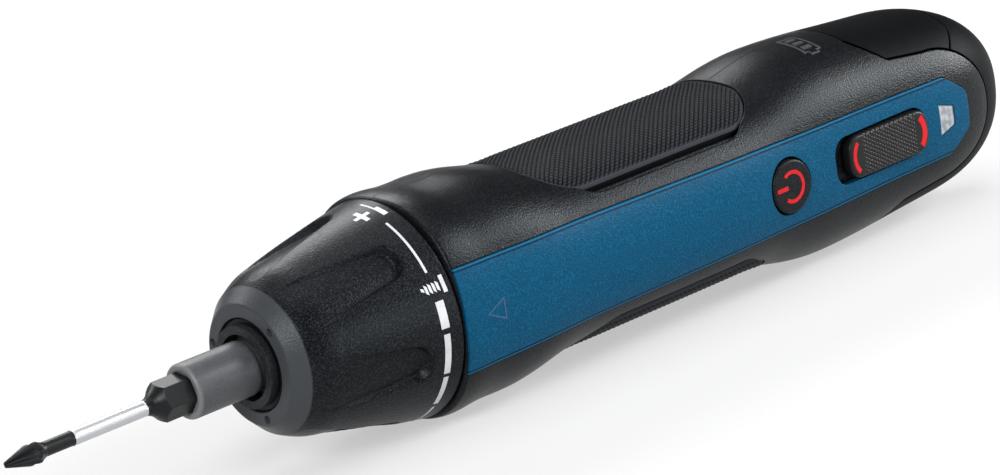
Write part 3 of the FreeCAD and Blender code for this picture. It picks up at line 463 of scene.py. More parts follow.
def steel(name, base, rough, along=(6.0, 1.0, 1.0)):
    """Steel with fine turning lines round the spindle."""
    f = Finish(name, base, rough, metal=1.0)
    lines = f.noise(0.35, detail=3.0, factors=along)
    f.tint(lines, 0.25, 0.8, dark=0.85, light=1.08)
    f.rough(lines, rough - 0.08, rough + 0.1)
    f.bump(lines, height_mm=0.004, strength=0.5)
    return f.material


def crossed(f, first, first_mm, second, second_mm, depth=1.0):
    """Rows of knobs: the product of two waves, each up to one, along two coordinates. The second dips by depth."""
    waves = []
    for source, pitch, dip in ((first, first_mm, 1.0), (second, second_mm, depth)):
        turn = f.math("COSINE", f.math("MULTIPLY", source, TAU / (pitch * MM)))
        waves.append(f.math("ADD", f.math("MULTIPLY", turn, dip / 2), 1 - dip / 2))
    return f.math("MULTIPLY", *waves)


def knurled_plastic(name, base):
    """Plastic with a field of small diamonds between the arcs: crossed waves along x + k z and x - k z."""
    f = Finish(name, base, 0.42, specular=0.2)
    x, slant = f.along("X"), f.math("MULTIPLY", f.along("Z"), DIAMOND_SLANT)
    knobs = crossed(f, f.math("ADD", x, slant), DIAMOND_PITCH, f.math("SUBTRACT", x, slant), DIAMOND_PITCH)
    middle = (SLIDER_FRONT + SLIDER_REAR) / 2 * MM
    field = f.math("LESS_THAN", f.math("ABSOLUTE", f.math("SUBTRACT", x, middle)), DIAMOND_FIELD * MM)
    f.rough(f.noise(0.5), 0.36, 0.5)
    f.tint(f.noise(2.0), 0.3, 0.7, dark=0.85, light=1.2)
    f.edges(0.25)
    f.bump(f.math("MULTIPLY", knobs, field), height_mm=0.12)
    return f.material


def inside_plan(f, sizes):
    """How far a point lies inside the grip's plan, a rectangle with round corners of radius r:
    r - |max(q, 0)| - min(max(q), 0), with q the distances past the corner centres."""
    half = (sizes.rear - sizes.front) / 2
    along = f.math("ABSOLUTE", f.math("SUBTRACT", f.along("X"), (sizes.front + half) * MM))
    across = f.math("ABSOLUTE", f.along("Y"))
    past = (f.math("SUBTRACT", along, (half - sizes.corner) * MM),
            f.math("SUBTRACT", across, (sizes.half_width - sizes.corner) * MM))
    over = [f.math("MAXIMUM", value, 0.0) for value in past]
    squares = f.math("ADD", *(f.math("MULTIPLY", value, value) for value in over))
    under = f.math("MINIMUM", f.math("MAXIMUM", *past), 0.0)
    return f.math("SUBTRACT", sizes.corner * MM, f.math("ADD", f.math("SQRT", squares), under))


def ribbed_rubber(name, base, sizes):
    """Soft rubber with slanted ribs that break into knobs: waves along x less the slant times the way s round
    the section, times finer waves along s. A smooth rim is left along the edge. The colour follows the relief:
    painted highlight on the knob tops and the rim, painted shade in the valleys and on the wall under the rim."""
    f = Finish(name, base, 0.5, specular=0.03)
    height = f.math("ABSOLUTE", f.along("Z"))
    way = f.math("MULTIPLY", f.math("ARCTAN2", f.along("Y"), height), GRIP_ROUND * MM)
    across = f.math("SUBTRACT", f.along("X"), f.math("MULTIPLY", way, sizes.rib_slant))
    knobs = crossed(f, across, sizes.rib_pitch, way, sizes.knob_pitch, depth=0.7)
    depth = inside_plan(f, sizes)
    field = f.spread(depth, RIM_END * MM, RIB_START * MM)
    rim = f.math("SUBTRACT", f.math("GREATER_THAN", depth, RIM_START * MM), field)
    relief = f.math("ADD", f.math("MULTIPLY", knobs, field), f.math("MULTIPLY", rim, 0.9))
    # Painted highlight and shade: the knob tops and the rim up to seven times the base, the valleys and the wall
    # under the rim, where the relief is nought, a quarter of it.
    f.tint(relief, 0.0, 0.85, dark=0.25, light=7.0)
    f.set("Specular Tint", COOL_GLOSS)
    f.rough(f.noise(0.5), 0.44, 0.56)
    f.edges(0.2)
    f.bump(relief, height_mm=0.2)
    return f.material


def board_finish(name, base):
    """Green solder mask over faint tracks."""
    f = Finish(name, base, 0.35)
    tracks = f.noise(1.5, factors=(0.4, 1.0, 1.0))
    f.tint(tracks, 0.45, 0.55, dark=0.8, light=1.5)
    f.bump(tracks, height_mm=0.03, strength=0.5)
    return f.material


def clear_lens(name):
    """A frosted window: mottled pale grey under a clear coat."""
    f = Finish(name, (0.23, 0.245, 0.26), 0.25)
    f.tint(f.noise(1.6, detail=1.0), 0.4, 0.6, dark=0.7, light=1.25)
    f.bump(f.noise(0.5), height_mm=0.03, strength=0.5)
    f.set("Coat Weight", 0.6)
    return f.material


def dress(node, material):
    """Gives a frame node its finish."""
    slots = NODES[node].data.materials
    slots.clear()
    slots.append(material)


class BuildStep:
    """What the building operators have in common."""
    bl_options = {"REGISTER", "UNDO"}


# Collar

COLLAR_ALONG = (0.088, 0.19, 0.32, 0.48, 0.68, 0.84, 1.0)
COLLAR_OUT = (0.27, 0.44, 0.56, 0.68, 0.81, 0.91, 1.0)
COLLAR_ROWS, COLLAR_COLUMNS = 112, 480
COLLAR_CHAMFER_END = 17.1
COLLAR_EDGE = 0.3
# How far in from an end, and how far down
FRONT_BREAK = ((0.0, 0.22), (0.06, 0.08), (0.16, 0.0))
REAR_BREAK = ((-0.12, 0.03), (-0.03, 0.12), (0.0, 0.3))
COLLAR_MOUTH, COLLAR_SKIRT = 8.5, 18.1
COLLAR_INNER = ((42.7, 18.05), (42.6, 16.0), (30.0, 14.2), (20.0, 12.2), (18.2, 11.85), (18.17, 7.65),
                (16.07, 7.65), (16.07, COLLAR_MOUTH))
INNER_STEP, FACE_STEP = 1.1, 0.11
RECESS_FRONT, RECESS_REAR = 18.0, 39.6
RECESS_FRONT_HALF, RECESS_REAR_HALF, RECESS_CORNER = 5.4, 3.5, 3.0
RECESS_EDGE, RECESS_EDGE_GROWTH = 0.4, 0.5
RECESS_TURN_DEG = 45.0
HOLE_COUNT, HOLE_CIRCLE, HOLE_RADIUS, HOLE_DEPTH, HOLE_TURN_DEG = 3, 9.8, 0.7, 1.3, 16.0
HOLE_EDGE_OUT, HOLE_EDGE_IN = 0.04, 0.1


def collar_radius(x):
    """Radius of the collar at x: a straight chamfer, then a curve through its shares of length and rise."""
    s = bpy.context.scene.driver_collar
    share = (x - s.front) / (s.rear - s.front)
    chamfer = COLLAR_OUT[0] * share / COLLAR_ALONG[0]
    rise = np.where(share < COLLAR_ALONG[0], chamfer, smooth_curve(COLLAR_ALONG, COLLAR_OUT, share))
    return s.face_radius + (s.radius - s.face_radius) * rise


def recess_cut(x, angle, radius):
    """Depth of the finger recesses: a smooth step of the distance inside a rounded trapezoid,
    times a depth that grows from nothing at the front to its full value at the rear."""
    s = bpy.context.scene.driver_collar
    pitch = TAU / s.recess_count
    offset = (angle - math.radians(RECESS_TURN_DEG) + pitch / 2) % pitch - pitch / 2
    share = np.clip((x - RECESS_FRONT) / (RECESS_REAR - RECESS_FRONT), 0, 1)
    half = RECESS_FRONT_HALF + (RECESS_REAR_HALF - RECESS_FRONT_HALF) * share
    across = np.abs(offset * radius) - half + RECESS_CORNER
    along = np.abs(x - (RECESS_FRONT + RECESS_REAR) / 2) - (RECESS_REAR - RECESS_FRONT) / 2 + RECESS_CORNER
    outside = np.hypot(np.maximum(across, 0), np.maximum(along, 0))
    distance = outside + np.minimum(np.maximum(across, along), 0) - RECESS_CORNER
    return s.recess_depth * share * ease(-distance, 0.0, RECESS_EDGE + RECESS_EDGE_GROWTH * share)


def collar_surface():
    """Points of the collar: a closed profile of (x, r) turned about the spindle.
    r = profile - recess on the outer run; pin holes push the flat face back."""
    s = bpy.context.scene.driver_collar
    (front_in, front_down), (rear_in, rear_down) = (np.array(edge).T for edge in (FRONT_BREAK, REAR_BREAK))
    middle = np.linspace(s.front + COLLAR_EDGE, s.rear - COLLAR_EDGE, COLLAR_ROWS)
    outer_x = np.concatenate([s.front + front_in, middle, s.rear + rear_in])
    outer_r = collar_radius(outer_x)
    outer_r[:len(front_in)] -= front_down
    outer_r[-len(rear_in):] -= rear_down
    outer = np.stack([outer_x, outer_r], -1)
    mouth = (s.front, COLLAR_MOUTH)
    inside = dense([(s.rear, COLLAR_SKIRT), *COLLAR_INNER, mouth], INNER_STEP)
    face = dense([mouth, (s.front, s.face_radius - front_down[0])], FACE_STEP)[1:-1]
    profile = np.concatenate([outer, inside, face])
    turn, x = grid(ring(COLLAR_COLUMNS), profile[:, 0])
    r = np.tile(profile[:, 1], (COLLAR_COLUMNS, 1))
    run = len(outer)
    r[:, :run] -= recess_cut(x[:, :run], turn[:, :run], r[:, :run])
    y, z = -r * np.cos(turn), r * np.sin(turn)
    flat = run + len(inside)
    for place in math.radians(HOLE_TURN_DEG) + ring(HOLE_COUNT):
        away = np.hypot(y[:, flat:] - HOLE_CIRCLE * math.cos(place), z[:, flat:] - HOLE_CIRCLE * math.sin(place))
        x[:, flat:] += HOLE_DEPTH * ease(-away, -HOLE_RADIUS - HOLE_EDGE_OUT, -HOLE_RADIUS + HOLE_EDGE_IN)
    return np.stack([x, y, z], -1)


class DRIVER_OT_collar(BuildStep, bpy.types.Operator):
    """Builds the torque collar with its recesses, face and pin holes."""
    bl_idname = "driver.collar"
    bl_label = "Torque collar"

    def execute(self, context):
        points = collar_surface()
        faces = grid_faces(*points.shape[:2], True, True)
        c = context.scene.driver_colours
        # Before COLLAR_CHAMFER_END the face and chamfer take the lighter face colour: painted light, not a
        # different plastic.
        finish = grained_plastic("collar_plastic", c.shell, painted_glint=4.8,
                                 bands=(along_spindle, (COLLAR_CHAMFER_END, tuple(c.face), 0.25)))
        piece = new_piece("collar_surface", points, faces, finish, "collar", 35.0)
        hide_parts("torque_collar")
        return {"FINISHED"}


PRINT_LIFT, PRINT_SINK, PRINT_ROWS = 0.035, 0.05, 4
# Each patch's places along the spindle and its angles, and where they differ its slant and columns
RISING_BARS = (((41.4, 43.0), (15.6, 1.3)), ((41.65, 42.85), (-1.8, -24.0)), ((41.75, 42.7), (-26.2, -46.4)),
               ((42.05, 42.55), (-49.5, -72.0)))
THIN_ARC = (((41.9, 42.35), (65.8, 31.0), 0.0, 40),)
SCREW_ENDS = (((43.7, 44.45), (27.6, 18.6)), ((39.7, 40.25), (24.7, 22.9), -0.8))
SCREW_THREADS = tuple(((start, start + 0.5), (25.7, 21.2), -1.2) for start in (40.45, 41.2, 41.95, 42.7))
RIM_LINE = (((43.3, 43.65), (90.0, 71.5), 0.0, 30), ((43.65, 44.3), (80.0, 71.5)))
PLUS_SIGN = (((39.0, 42.2), (80.6, 78.2)), ((40.15, 41.05), (85.0, 74.0)))


def collar_patch(x_limits, deg_limits, slant_deg=0.0, columns=24):
    """A printed patch: a grid between two places and two angles on the collar, with its closed back.
    The slant shifts the angle along x."""
    x, turn = grid(np.linspace(*x_limits, PRINT_ROWS), np.radians(np.linspace(*deg_limits, columns)))
    turn = turn + np.radians(slant_deg) * (x - x_limits[0]) / (x_limits[1] - x_limits[0])
    radius = collar_radius(x)
    return plate(*(np.stack([x, -r * np.cos(turn), r * np.sin(turn)], -1)
                   for r in (radius + PRINT_LIFT, radius - PRINT_SINK)))


class DRIVER_OT_collar_print(BuildStep, bpy.types.Operator):
    """Prints the torque scale on the collar: rising bars, a thin arc, a screw sign, a rim line and a plus sign."""
    bl_idname = "driver.collar_print"
    bl_label = "Torque scale"

    def execute(self, context):
        patches = RISING_BARS + THIN_ARC + SCREW_ENDS + SCREW_THREADS + RIM_LINE + PLUS_SIGN
        points, faces = joined([collar_patch(*patch) for patch in patches])
        finish = smooth_plastic("scale_print", context.scene.driver_colours.print_white, 0.5)
        new_piece("torque_scale", points, faces, finish, "collar")
        return {"FINISHED"}


# Soft grips

GRIP_ROWS, GRIP_COLUMNS = 440, 104
END_CROWDING, SIDE_CROWDING = 0.315, 0.12
GRIP_PROUD, GRIP_SINK = 0.15, 1.25
CROWN_RISE, CROWN_RUN = 0.4, (0.5, 8.0)
SHOULDER_DROP, SHOULDER_RUN = 0.95, 2.2
BEAD_HEIGHT, BEAD_UP, BEAD_DOWN = 0.16, (0.0, 0.12), (0.32, 0.5)
RIB_FADE = (0.5, 0.7)


def grip_plan(x, v):
    """Place y = v * limit across the tool, and the distance in from the plan's edge. The limit is the half
    width, drawn in round the corners by c - sqrt(c^2 - i^2), with i the way into a corner of radius c."""
    s = bpy.context.scene.driver_grip
    near_end = np.minimum(x - s.front, s.rear - x)
    into = np.clip(s.corner - near_end, 0, s.corner)
    limit = s.half_width - s.corner + np.sqrt(np.maximum(s.corner ** 2 - into ** 2, 0))
    y = v * limit
    return y, np.minimum(np.abs(limit - np.abs(y)), near_end)


def grip_face(x, y, edge):
    """Points of the ribbed face: the handle's surface, raised to a soft crown, with a round shoulder, a bead
    along the edge and slanted ribs, waves along x less the slant times the way round the section."""
    s = bpy.context.scene.driver_grip
    shoulder = 1 - np.sqrt(1 - (1 - np.clip(edge / SHOULDER_RUN, 0, 1)) ** 2)
    bead = ease(edge, *BEAD_UP) * (1 - ease(edge, *BEAD_DOWN))
    way = np.arctan2(y, handle_top(x, y, 0.0)[..., 2]) * GRIP_ROUND
    wave = 0.5 + 0.5 * np.cos(TAU * (x - s.rib_slant * way) / s.rib_pitch)
    rib = s.rib_height * wave * ease(edge, *RIB_FADE)
    crown = GRIP_PROUD + CROWN_RISE * ease(edge, *CROWN_RUN)
    return handle_top(x, y, crown - SHOULDER_DROP * shoulder + BEAD_HEIGHT * bead + rib)


def grip_piece(name, node, side, material):
    """One grip: its ribbed face, its back and the wall between, mirrored for the underside.
    The rows crowd towards the ends and the columns towards the sides, by a sine of the way."""
    s = bpy.context.scene.driver_grip
    share, v = np.linspace(0, 1, GRIP_ROWS), np.linspace(-1, 1, GRIP_COLUMNS)
    along = share - END_CROWDING * np.sin(TAU * share) / TAU
    x, v = grid(s.front + (s.rear - s.front) * along, v + SIDE_CROWDING * np.sin(np.pi * v))
    y, edge = grip_plan(x, v)
    points, faces = plate(grip_face(x, y, edge), handle_top(x, y, -GRIP_SINK))
    points[:, 2] *= side
    piece = new_piece(name, points, faces, material, "housing", 60.0)
    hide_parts(node)


class DRIVER_OT_grips(BuildStep, bpy.types.Operator):
    """Builds the two soft ribbed grips."""
    bl_idname = "driver.grips"
    bl_label = "Soft grips"

    def execute(self, context):
        finish = ribbed_rubber("grip_rubber", context.scene.driver_colours.grip, context.scene.driver_grip)
        grip_piece("top_grip_ribs", "top_grip", 1, finish)
        grip_piece("bottom_grip_ribs", "bottom_grip", -1, finish)
        return {"FINISHED"}


# Bit and holder

HEX_FLATS = 6.35
HEX_TURN_DEG = 8.0
BIT_COLUMNS = 168
# Runs of rings: start, end and count
BIT_RUNS = ((-36.8, -29.0, 80), (-28.7, -23.6, 8), (-23.3, -8.6, 20), (-8.4, -4.4, 50), (-4.0, 12.6, 12),
            (13.3, 13.3, 1))
BIT_OUTLINE = ((-36.8, 0.3), (-36.5, 0.65), (-31.6, 2.25), (-31.2, 2.32), (-30.8, 2.28), (-29.3, 1.4),
               (-29.0, 1.28), (-23.5, 1.28), (-23.3, 1.34), (-8.4, 1.34), (-7.7, 1.45), (-7.0, 1.75),
               (-6.3, 2.25), (-5.7, 2.85), (-5.2, 3.4), (-4.8, 3.9), (12.7, 3.9), (13.4, 3.1))
WING_TURN_DEG, WING_EDGE = 20.0, (0.22, 0.8)
FLUTE_END, FLUTE_RUN = (-31.0, -29.2), (-36.8, -30.0)
FLUTE_ROOT, FLUTE_GROWTH = 0.36, 0.2
BIT_FRONT, BRIGHT_START, BRIGHT_END, BIT_REAR = -40.0, -23.4, -8.3, 14.0
BIT_DARK = (0.0070, 0.0076, 0.0085)
HOLDER_COLUMNS = 120
HOLDER_RADIUS, HOLDER_LIP = 4.94, 0.75
LIP_RINGS, SOCKET_STEP, BACK_STEP = 8, 2.0, 3.0
HOLDER_SOCKET, HOLDER_MOUTH = ((13.4, 0), (13.3, 0), (0.35, 0)), (0.05, 3.9)
HOLDER_BARREL = ((4.0, HOLDER_RADIUS), (8.0, HOLDER_RADIUS))
HOLDER_BACK = ((13.0, HOLDER_RADIUS), (13.02, 4.6), (28.98, 4.6), (29.0, 5.5), (31.0, 5.5), (31.02, 3.2),
               (44.0, 3.2))
HOLDER_TAIL, TAIL_FLATS = (44.02, 50.0), 5.4
SOCKET_PLAY = 0.08


def hex_radius(angle, flats):
    """Distance from the axis to a hexagon's side in a direction."""
    sector = (angle - math.radians(HEX_TURN_DEG)) % (TAU / 6) - TAU / 12
    return flats / 2 / np.cos(sector)


def turned_points(x, r, angle):
    """Points at radius r and angle from +Y towards +Z."""
    return np.stack([x, r * np.cos(angle), r * np.sin(angle)], -1)


def bit_surface():
    """The bit: r is the smaller of the hexagon and a turned outline; four flutes cut the tip.
    Flute depth follows |cos 2a| so that four wings stay."""
    x, angle = grid(np.concatenate([np.linspace(*run) for run in BIT_RUNS]), ring(BIT_COLUMNS))
    r = np.minimum(hex_radius(angle, HEX_FLATS), np.interp(x, *zip(*BIT_OUTLINE)))
    wing = np.abs(np.cos(2 * (angle + math.radians(WING_TURN_DEG))))
    cut = ease(wing, *WING_EDGE) * (1 - ease(x, *FLUTE_END))
    root = FLUTE_ROOT + FLUTE_GROWTH * ease(x, *FLUTE_RUN)
    return turned_points(x, r * (1 - cut * (1 - root)), angle)


class DRIVER_OT_bit(BuildStep, bpy.types.Operator):
    """Builds the screwdriver bit: dark shank and tip, bright shaft."""
    bl_idname = "driver.bit"
    bl_label = "Screwdriver bit"

    def execute(self, context):
        points = bit_surface()
        shaft = tuple(context.scene.driver_colours.shaft)
        f = Finish("bit_steel", shaft, 0.32, metal=1.0, specular=0.16)
        for socket, dark, bright in (("Base Color", BIT_DARK, shaft), ("Metallic", (0.0,) * 3, (1.0,) * 3)):
            f.feed(socket, f.stripes("X", ((BIT_FRONT, dark), (BRIGHT_START, bright), (BRIGHT_END, dark),
                                           (BIT_REAR, dark))))
        f.rough(f.noise(0.3, factors=(5.0, 1.0, 1.0)), 0.26, 0.46)
        f.bump(f.noise(0.25), height_mm=0.006, strength=0.5)
        piece = new_piece("bit_surface", points, capped_faces(*points.shape[:2]), f.material,
                          "bit", 28.0)
        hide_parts("driver_bit")
        return {"FINISHED"}


def holder_surface():
    """The bit holder: rings of (x, r), from the socket's floor out over the lip and back. Where r isn't a
    number, in the socket and at the tail, the ring is a hexagon."""
    lip = arc((HOLDER_LIP, HOLDER_RADIUS - HOLDER_LIP), HOLDER_LIP, 180.0, 90.0, LIP_RINGS)
    socket = dense(HOLDER_SOCKET, SOCKET_STEP)
    socket[:, 1] = np.nan
    tail = [(place, np.nan) for place in HOLDER_TAIL]
    rings = np.concatenate([socket, [HOLDER_MOUTH], lip, HOLDER_BARREL, dense(HOLDER_BACK, BACK_STEP), tail])
    flats = np.where(np.arange(len(rings)) < len(socket), HEX_FLATS + SOCKET_PLAY, TAIL_FLATS)
    x, angle = grid(rings[:, 0], ring(HOLDER_COLUMNS))
    r = rings[:, 1:]
    return turned_points(x, np.where(np.isnan(r), hex_radius(angle, flats[:, None]), r), angle)


class DRIVER_OT_holder(BuildStep, bpy.types.Operator):
    """Builds the bit holder with its rounded lip and hexagonal socket."""
    bl_idname = "driver.holder"
    bl_label = "Bit holder"

    def execute(self, context):
        points = holder_surface()
        f = Finish("holder_oxide", context.scene.driver_colours.holder, 0.48)
        f.tint(f.noise(0.35, detail=3.0), 0.3, 0.72, dark=0.75, light=1.35)
        # Painted highlight: the front of the lip, under 0.3 mm along the spindle, is painted about three times
        # lighter than the oxide.
        f.before(f.along("X"), 0.3, (0.11, 0.115, 0.12), 0.5)
        f.rough(f.noise(0.5), 0.4, 0.54)
        f.bump(f.noise(0.22), height_mm=0.01, strength=0.7)
        piece = new_piece("holder_surface", points, capped_faces(*points.shape[:2]), f.material,
                          "spindle", 30.0)
        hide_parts("bit_holder")
        return {"FINISHED"}


# Handle, panel and controls

SIGN_STEPS, SIGN_SINK = 12, 0.15
BATTERY_LIFT, BATTERY_LINE, BATTERY_BAR_LINE = 0.16, 0.45, 0.44
BATTERY = ((146.6, -0.6), (151.0, -0.6), (151.0, -8.0), (149.9, -8.0), (149.9, -8.8), (147.7, -8.8),
           (147.7, -8.0), (146.6, -8.0))
BATTERY_BARS = tuple(((147.6, near), (150.0, near), (150.0, near - 0.9), (147.6, near - 0.9))
                     for near in (-1.7, -3.8, -5.9))
POINTER = ((51.2, 0.0), (55.4, 2.1), (55.4, -2.1))
POINTER_LIFT, POINTER_LINE = 0.22, 0.5


def outline_sign(corners, thickness, surface, lift):
    """A closed line round corners in a surface's own plane: the corners' loop and the same loop drawn in
    towards its middle, each raised just over the surface and sunk into it."""
    corners = np.asarray(corners, float)
    middle = corners.mean(0)
    reach = np.abs(corners - middle).max(0)
    inner = middle + (corners - middle) * (1 - thickness / reach)
    steps = np.arange(SIGN_STEPS)[:, None] / SIGN_STEPS
    low_lift = lift - SIGN_SINK
    loops = []
    for loop, proud in ((corners, lift), (inner, lift), (inner, low_lift), (corners, low_lift)):
        run = np.concatenate([low + (high - low) * steps for low, high in zip(loop, np.roll(loop, -1, 0))])
        loops.append(surface(run[:, 0], run[:, 1], proud))
    points = np.stack(loops)
    return points, grid_faces(*points.shape[:2], True, True)


class DRIVER_OT_handle(BuildStep, bpy.types.Operator):
    """Finishes the shells, the nose, the rear cap and the cover, and raises the battery sign."""
    bl_idname = "driver.handle"
    bl_label = "Handle shells and cap"

    def execute(self, context):
        c = context.scene.driver_colours
        shell = grained_plastic("shell_plastic", c.shell)
        for node in ("left_shell", "right_shell"):
            dress(node, shell)
        cap = rubber("cap_rubber", c.cap, 0.52)
        for node in ("rear_cap", "charging_cover"):
            dress(node, cap)
        # The nose is the black plastic painted about four times lighter: painted light on the nose ring.
        dress("gearbox_housing", grained_plastic("nose_plastic", (0.014, 0.015, 0.017), 0.42, painted_glint=2.0))
        signs = [outline_sign(BATTERY, BATTERY_LINE, handle_top, BATTERY_LIFT)]
        signs += [outline_sign(bar, BATTERY_BAR_LINE, handle_top, BATTERY_LIFT) for bar in BATTERY_BARS]
        points, faces = joined(signs)
        # The sign's raised lines are the shell's black plastic painted about twelve times lighter: a painted
        # highlight along the lines.
        line = smooth_plastic("battery_line", (0.045, 0.048, 0.053), 0.25)
        new_piece("battery_sign", points, faces, line, "housing")
        return {"FINISHED"}


class DRIVER_OT_panel(BuildStep, bpy.types.Operator):
    """Finishes the coloured panel and the lens, and marks the pointer."""
    bl_idname = "driver.panel"
    bl_label = "Side panel"

    def execute(self, context):
        c = context.scene.driver_colours
        # Painted light along the straight edges: the outer 0.24 mm is half as light again, a painted highlight on
        # the rounded edge, and out to 0.55 mm a quarter of the colour, painted shade of an engraved line.
        painted_groove_shade, edge = (tuple(value * share for value in c.panel) for share in (0.25, 1.5))
        finish = grained_plastic("panel_plastic", c.panel, rough=0.42, gloss=0.06, grain_mm=0.3, painted_glint=1.5,
                                 bands=(inside_panel, (0.55, painted_groove_shade, 0.1), (0.24, edge, 0.08)))
        dress("side_panel", finish)
        dress("led_lens", clear_lens("lens_clear"))
        points, faces = outline_sign(POINTER, POINTER_LINE, handle_side, POINTER_LIFT)
        dark = smooth_plastic("pointer_line", (0.006, 0.05, 0.12), 0.5)
        new_piece("pointer_sign", points, faces, dark, "housing")
        return {"FINISHED"}


INLAY_LIFT, INLAY_SINK = 0.03, 0.17
ACROSS_STEPS, ROUND_STEPS, LONG_STEPS = 4, 64, 6
BUTTON_X, BUTTON_TOP = 127.6, -19.9
CIRCLE_RADII, CIRCLE_HALF_DEG = (2.4, 3.1), 128.0
STROKE_FROM, STROKE_TO, STROKE_HALF = 3.95, 1.2, 0.4
ARC_IN, ARC_HALF_DEG = 5.3, 42.0
FRONT_ARC_RADII, REAR_ARC_RADII = (3.75, 4.6), (3.5, 4.75)


def inlay(x, z, top_y):
    """A closed plate in a face of constant y, just proud of it and sunk into it."""
    return plate(*(np.stack([x, np.full_like(x, y), z], -1) for y in (top_y - INLAY_LIFT, top_y + INLAY_SINK)))


def inlaid_arc(middle_x, radii, deg_limits, top_y):
    """A ring sector: a grid of radius by angle round a middle on the tool's own line."""
    radius, turn = grid(np.linspace(*radii, ACROSS_STEPS), np.radians(np.linspace(*deg_limits, ROUND_STEPS)))
    return inlay(middle_x + radius * np.cos(turn), radius * np.sin(turn), top_y)


def inlaid_bar(x_limits, z_limits, top_y):
    """A straight bar: a grid of x by z."""
    return inlay(*grid(np.linspace(*x_limits, LONG_STEPS), np.linspace(*z_limits, ACROSS_STEPS)), top_y)


class DRIVER_OT_button(BuildStep, bpy.types.Operator):
    """Finishes the power button and inlays its sign."""
    bl_idname = "driver.button"
    bl_label = "Power button"

    def execute(self, context):
        plastic = grained_plastic("button_plastic", (0.0050, 0.0052, 0.0058), 0.4, height_mm=0.04, painted_glint=3.0)
        dress("power_button", plastic)
        circle = inlaid_arc(BUTTON_X, CIRCLE_RADII, (-CIRCLE_HALF_DEG, CIRCLE_HALF_DEG), BUTTON_TOP)
        stroke = inlaid_bar((BUTTON_X - STROKE_FROM, BUTTON_X - STROKE_TO), (-STROKE_HALF, STROKE_HALF),
                            BUTTON_TOP)
        points, faces = joined([circle, stroke])
        finish = smooth_plastic("sign_red", context.scene.driver_colours.mark, 0.45, gloss=0.15)
        new_piece("power_sign", points, faces, finish, "power_button")
        return {"FINISHED"}


class DRIVER_OT_switch(BuildStep, bpy.types.Operator):
    """Finishes the direction switch and inlays its two arcs."""
    bl_idname = "driver.switch"
    bl_label = "Direction switch"

    def execute(self, context):
        dress("direction_switch", knurled_plastic("switch_plastic", (0.0045, 0.0047, 0.0050)))
        front = inlaid_arc(SLIDER_FRONT + ARC_IN, FRONT_ARC_RADII, (180.0 - ARC_HALF_DEG, 180.0 + ARC_HALF_DEG),
                           SLIDER_TOP)
        rear = inlaid_arc(SLIDER_REAR - ARC_IN, REAR_ARC_RADII, (-ARC_HALF_DEG, ARC_HALF_DEG), SLIDER_TOP)
        points, faces = joined([front, rear])
        finish = smooth_plastic("arc_red", context.scene.driver_colours.mark, 0.45, gloss=0.15)
        new_piece("direction_arcs", points, faces, finish, "direction_switch")
        return {"FINISHED"}


# Inside

class DRIVER_OT_inside(BuildStep, bpy.types.Operator):
    """Finishes the pieces inside the handle."""
    bl_idname = "driver.inside"
    bl_label = "Inner pieces"

    def execute(self, context):
        planets = ["{}_planet_{}".format(stage, index) for stage in ("first", "second") for index in (1, 2, 3)]
        groups = (
            (steel("bright_steel", (0.50, 0.50, 0.52), 0.3),
             ("clutch_pins", "clutch_washer", "shell_screws", "motor_screws")),
            (steel("blackened_steel", (0.020, 0.021, 0.023), 0.5), ("collar_clip",)),
            (steel("sintered_bronze", (0.10, 0.075, 0.05), 0.5), ("nose_bush",)),
            (steel("gear_steel", (0.42, 0.42, 0.44), 0.4),
             ("ring_gear", "output_carrier", "first_carrier", "motor_pinion", *planets)),
            (steel("zinc_plate", (0.60, 0.60, 0.62), 0.32), ("motor_can", "motor_plate", "usb_socket")),
            (steel("rotor_laminations", (0.35, 0.34, 0.33), 0.45, along=(14.0, 1.0, 1.0)), ("motor_rotor",)),
            (steel("nickel_tab", (0.70, 0.69, 0.66), 0.35), ("cell_contacts",)),
            (smooth_plastic("ferrite", (0.10, 0.10, 0.11), 0.55), ("motor_magnets", "bit_magnet")),
            (smooth_plastic("natural_nylon", (0.62, 0.61, 0.57), 0.5),
             ("clutch_nut", "push_sleeve", "motor_end_cap")),
            (smooth_plastic("cell_wrap", (0.05, 0.25, 0.18), 0.3), ("battery_cell",)),
            (smooth_plastic("switch_body", (0.05, 0.05, 0.05), 0.45),
             ("start_switch", "power_switch", "direction_switch_base")),
            (smooth_plastic("led_resin", (0.85, 0.85, 0.70), 0.2), ("status_led",)),
            (board_finish("solder_mask", (0.015, 0.13, 0.06)), ("control_board", "charge_board")),
        )
        for material, nodes in groups:
            for node in nodes:
                dress(node, material)
        return {"FINISHED"}


# Each spring's node, winding radius, wire radius, turns, and the bodies of its two seats
COILS = {
    "clutch_coil": ("clutch_spring", 9.4, 0.7, 5, ("clutch_nut", "collar")),
    "push_coil": ("push_spring", 4.0, 0.25, 6, ("push_slider", "housing")),
}
COIL_STEPS, WIRE_SIDES = 40, 12


def coil_surface(start, end, radius, wire, turns):
    """A wound wire: its middle turns about the spindle at an even pitch from start to end, and a ring of the
    wire's radius is carried along it in the plane of the spindle and the middle."""
    share, side = grid(np.linspace(0, 1, COIL_STEPS * turns + 1), ring(WIRE_SIDES))
    turn = TAU * turns * share
    out = radius + wire * np.cos(side)
    x = start + wire + (end - start - 2 * wire) * share + wire * np.sin(side)
    return np.stack([x, out * np.sin(turn), out * np.cos(turn)], -1)


class DRIVER_OT_springs(BuildStep, bpy.types.Operator):
    """Winds the clutch spring and the push spring, each between the ends of its frame node."""
    bl_idname = "driver.springs"
    bl_label = "Springs"

    def execute(self, context):
        wire_finish = steel("spring_wire", (0.50, 0.50, 0.52), 0.3)
        for name, (node, radius, wire, turns, bodies) in COILS.items():
            start, end = (corner[0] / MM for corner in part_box(node))
            points = coil_surface(start, end, radius, wire, turns)
            piece = new_piece(name, points, capped_faces(*points.shape[:2]), wire_finish, None)
            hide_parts(node)
            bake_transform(piece)
        return {"FINISHED"}


# Stage

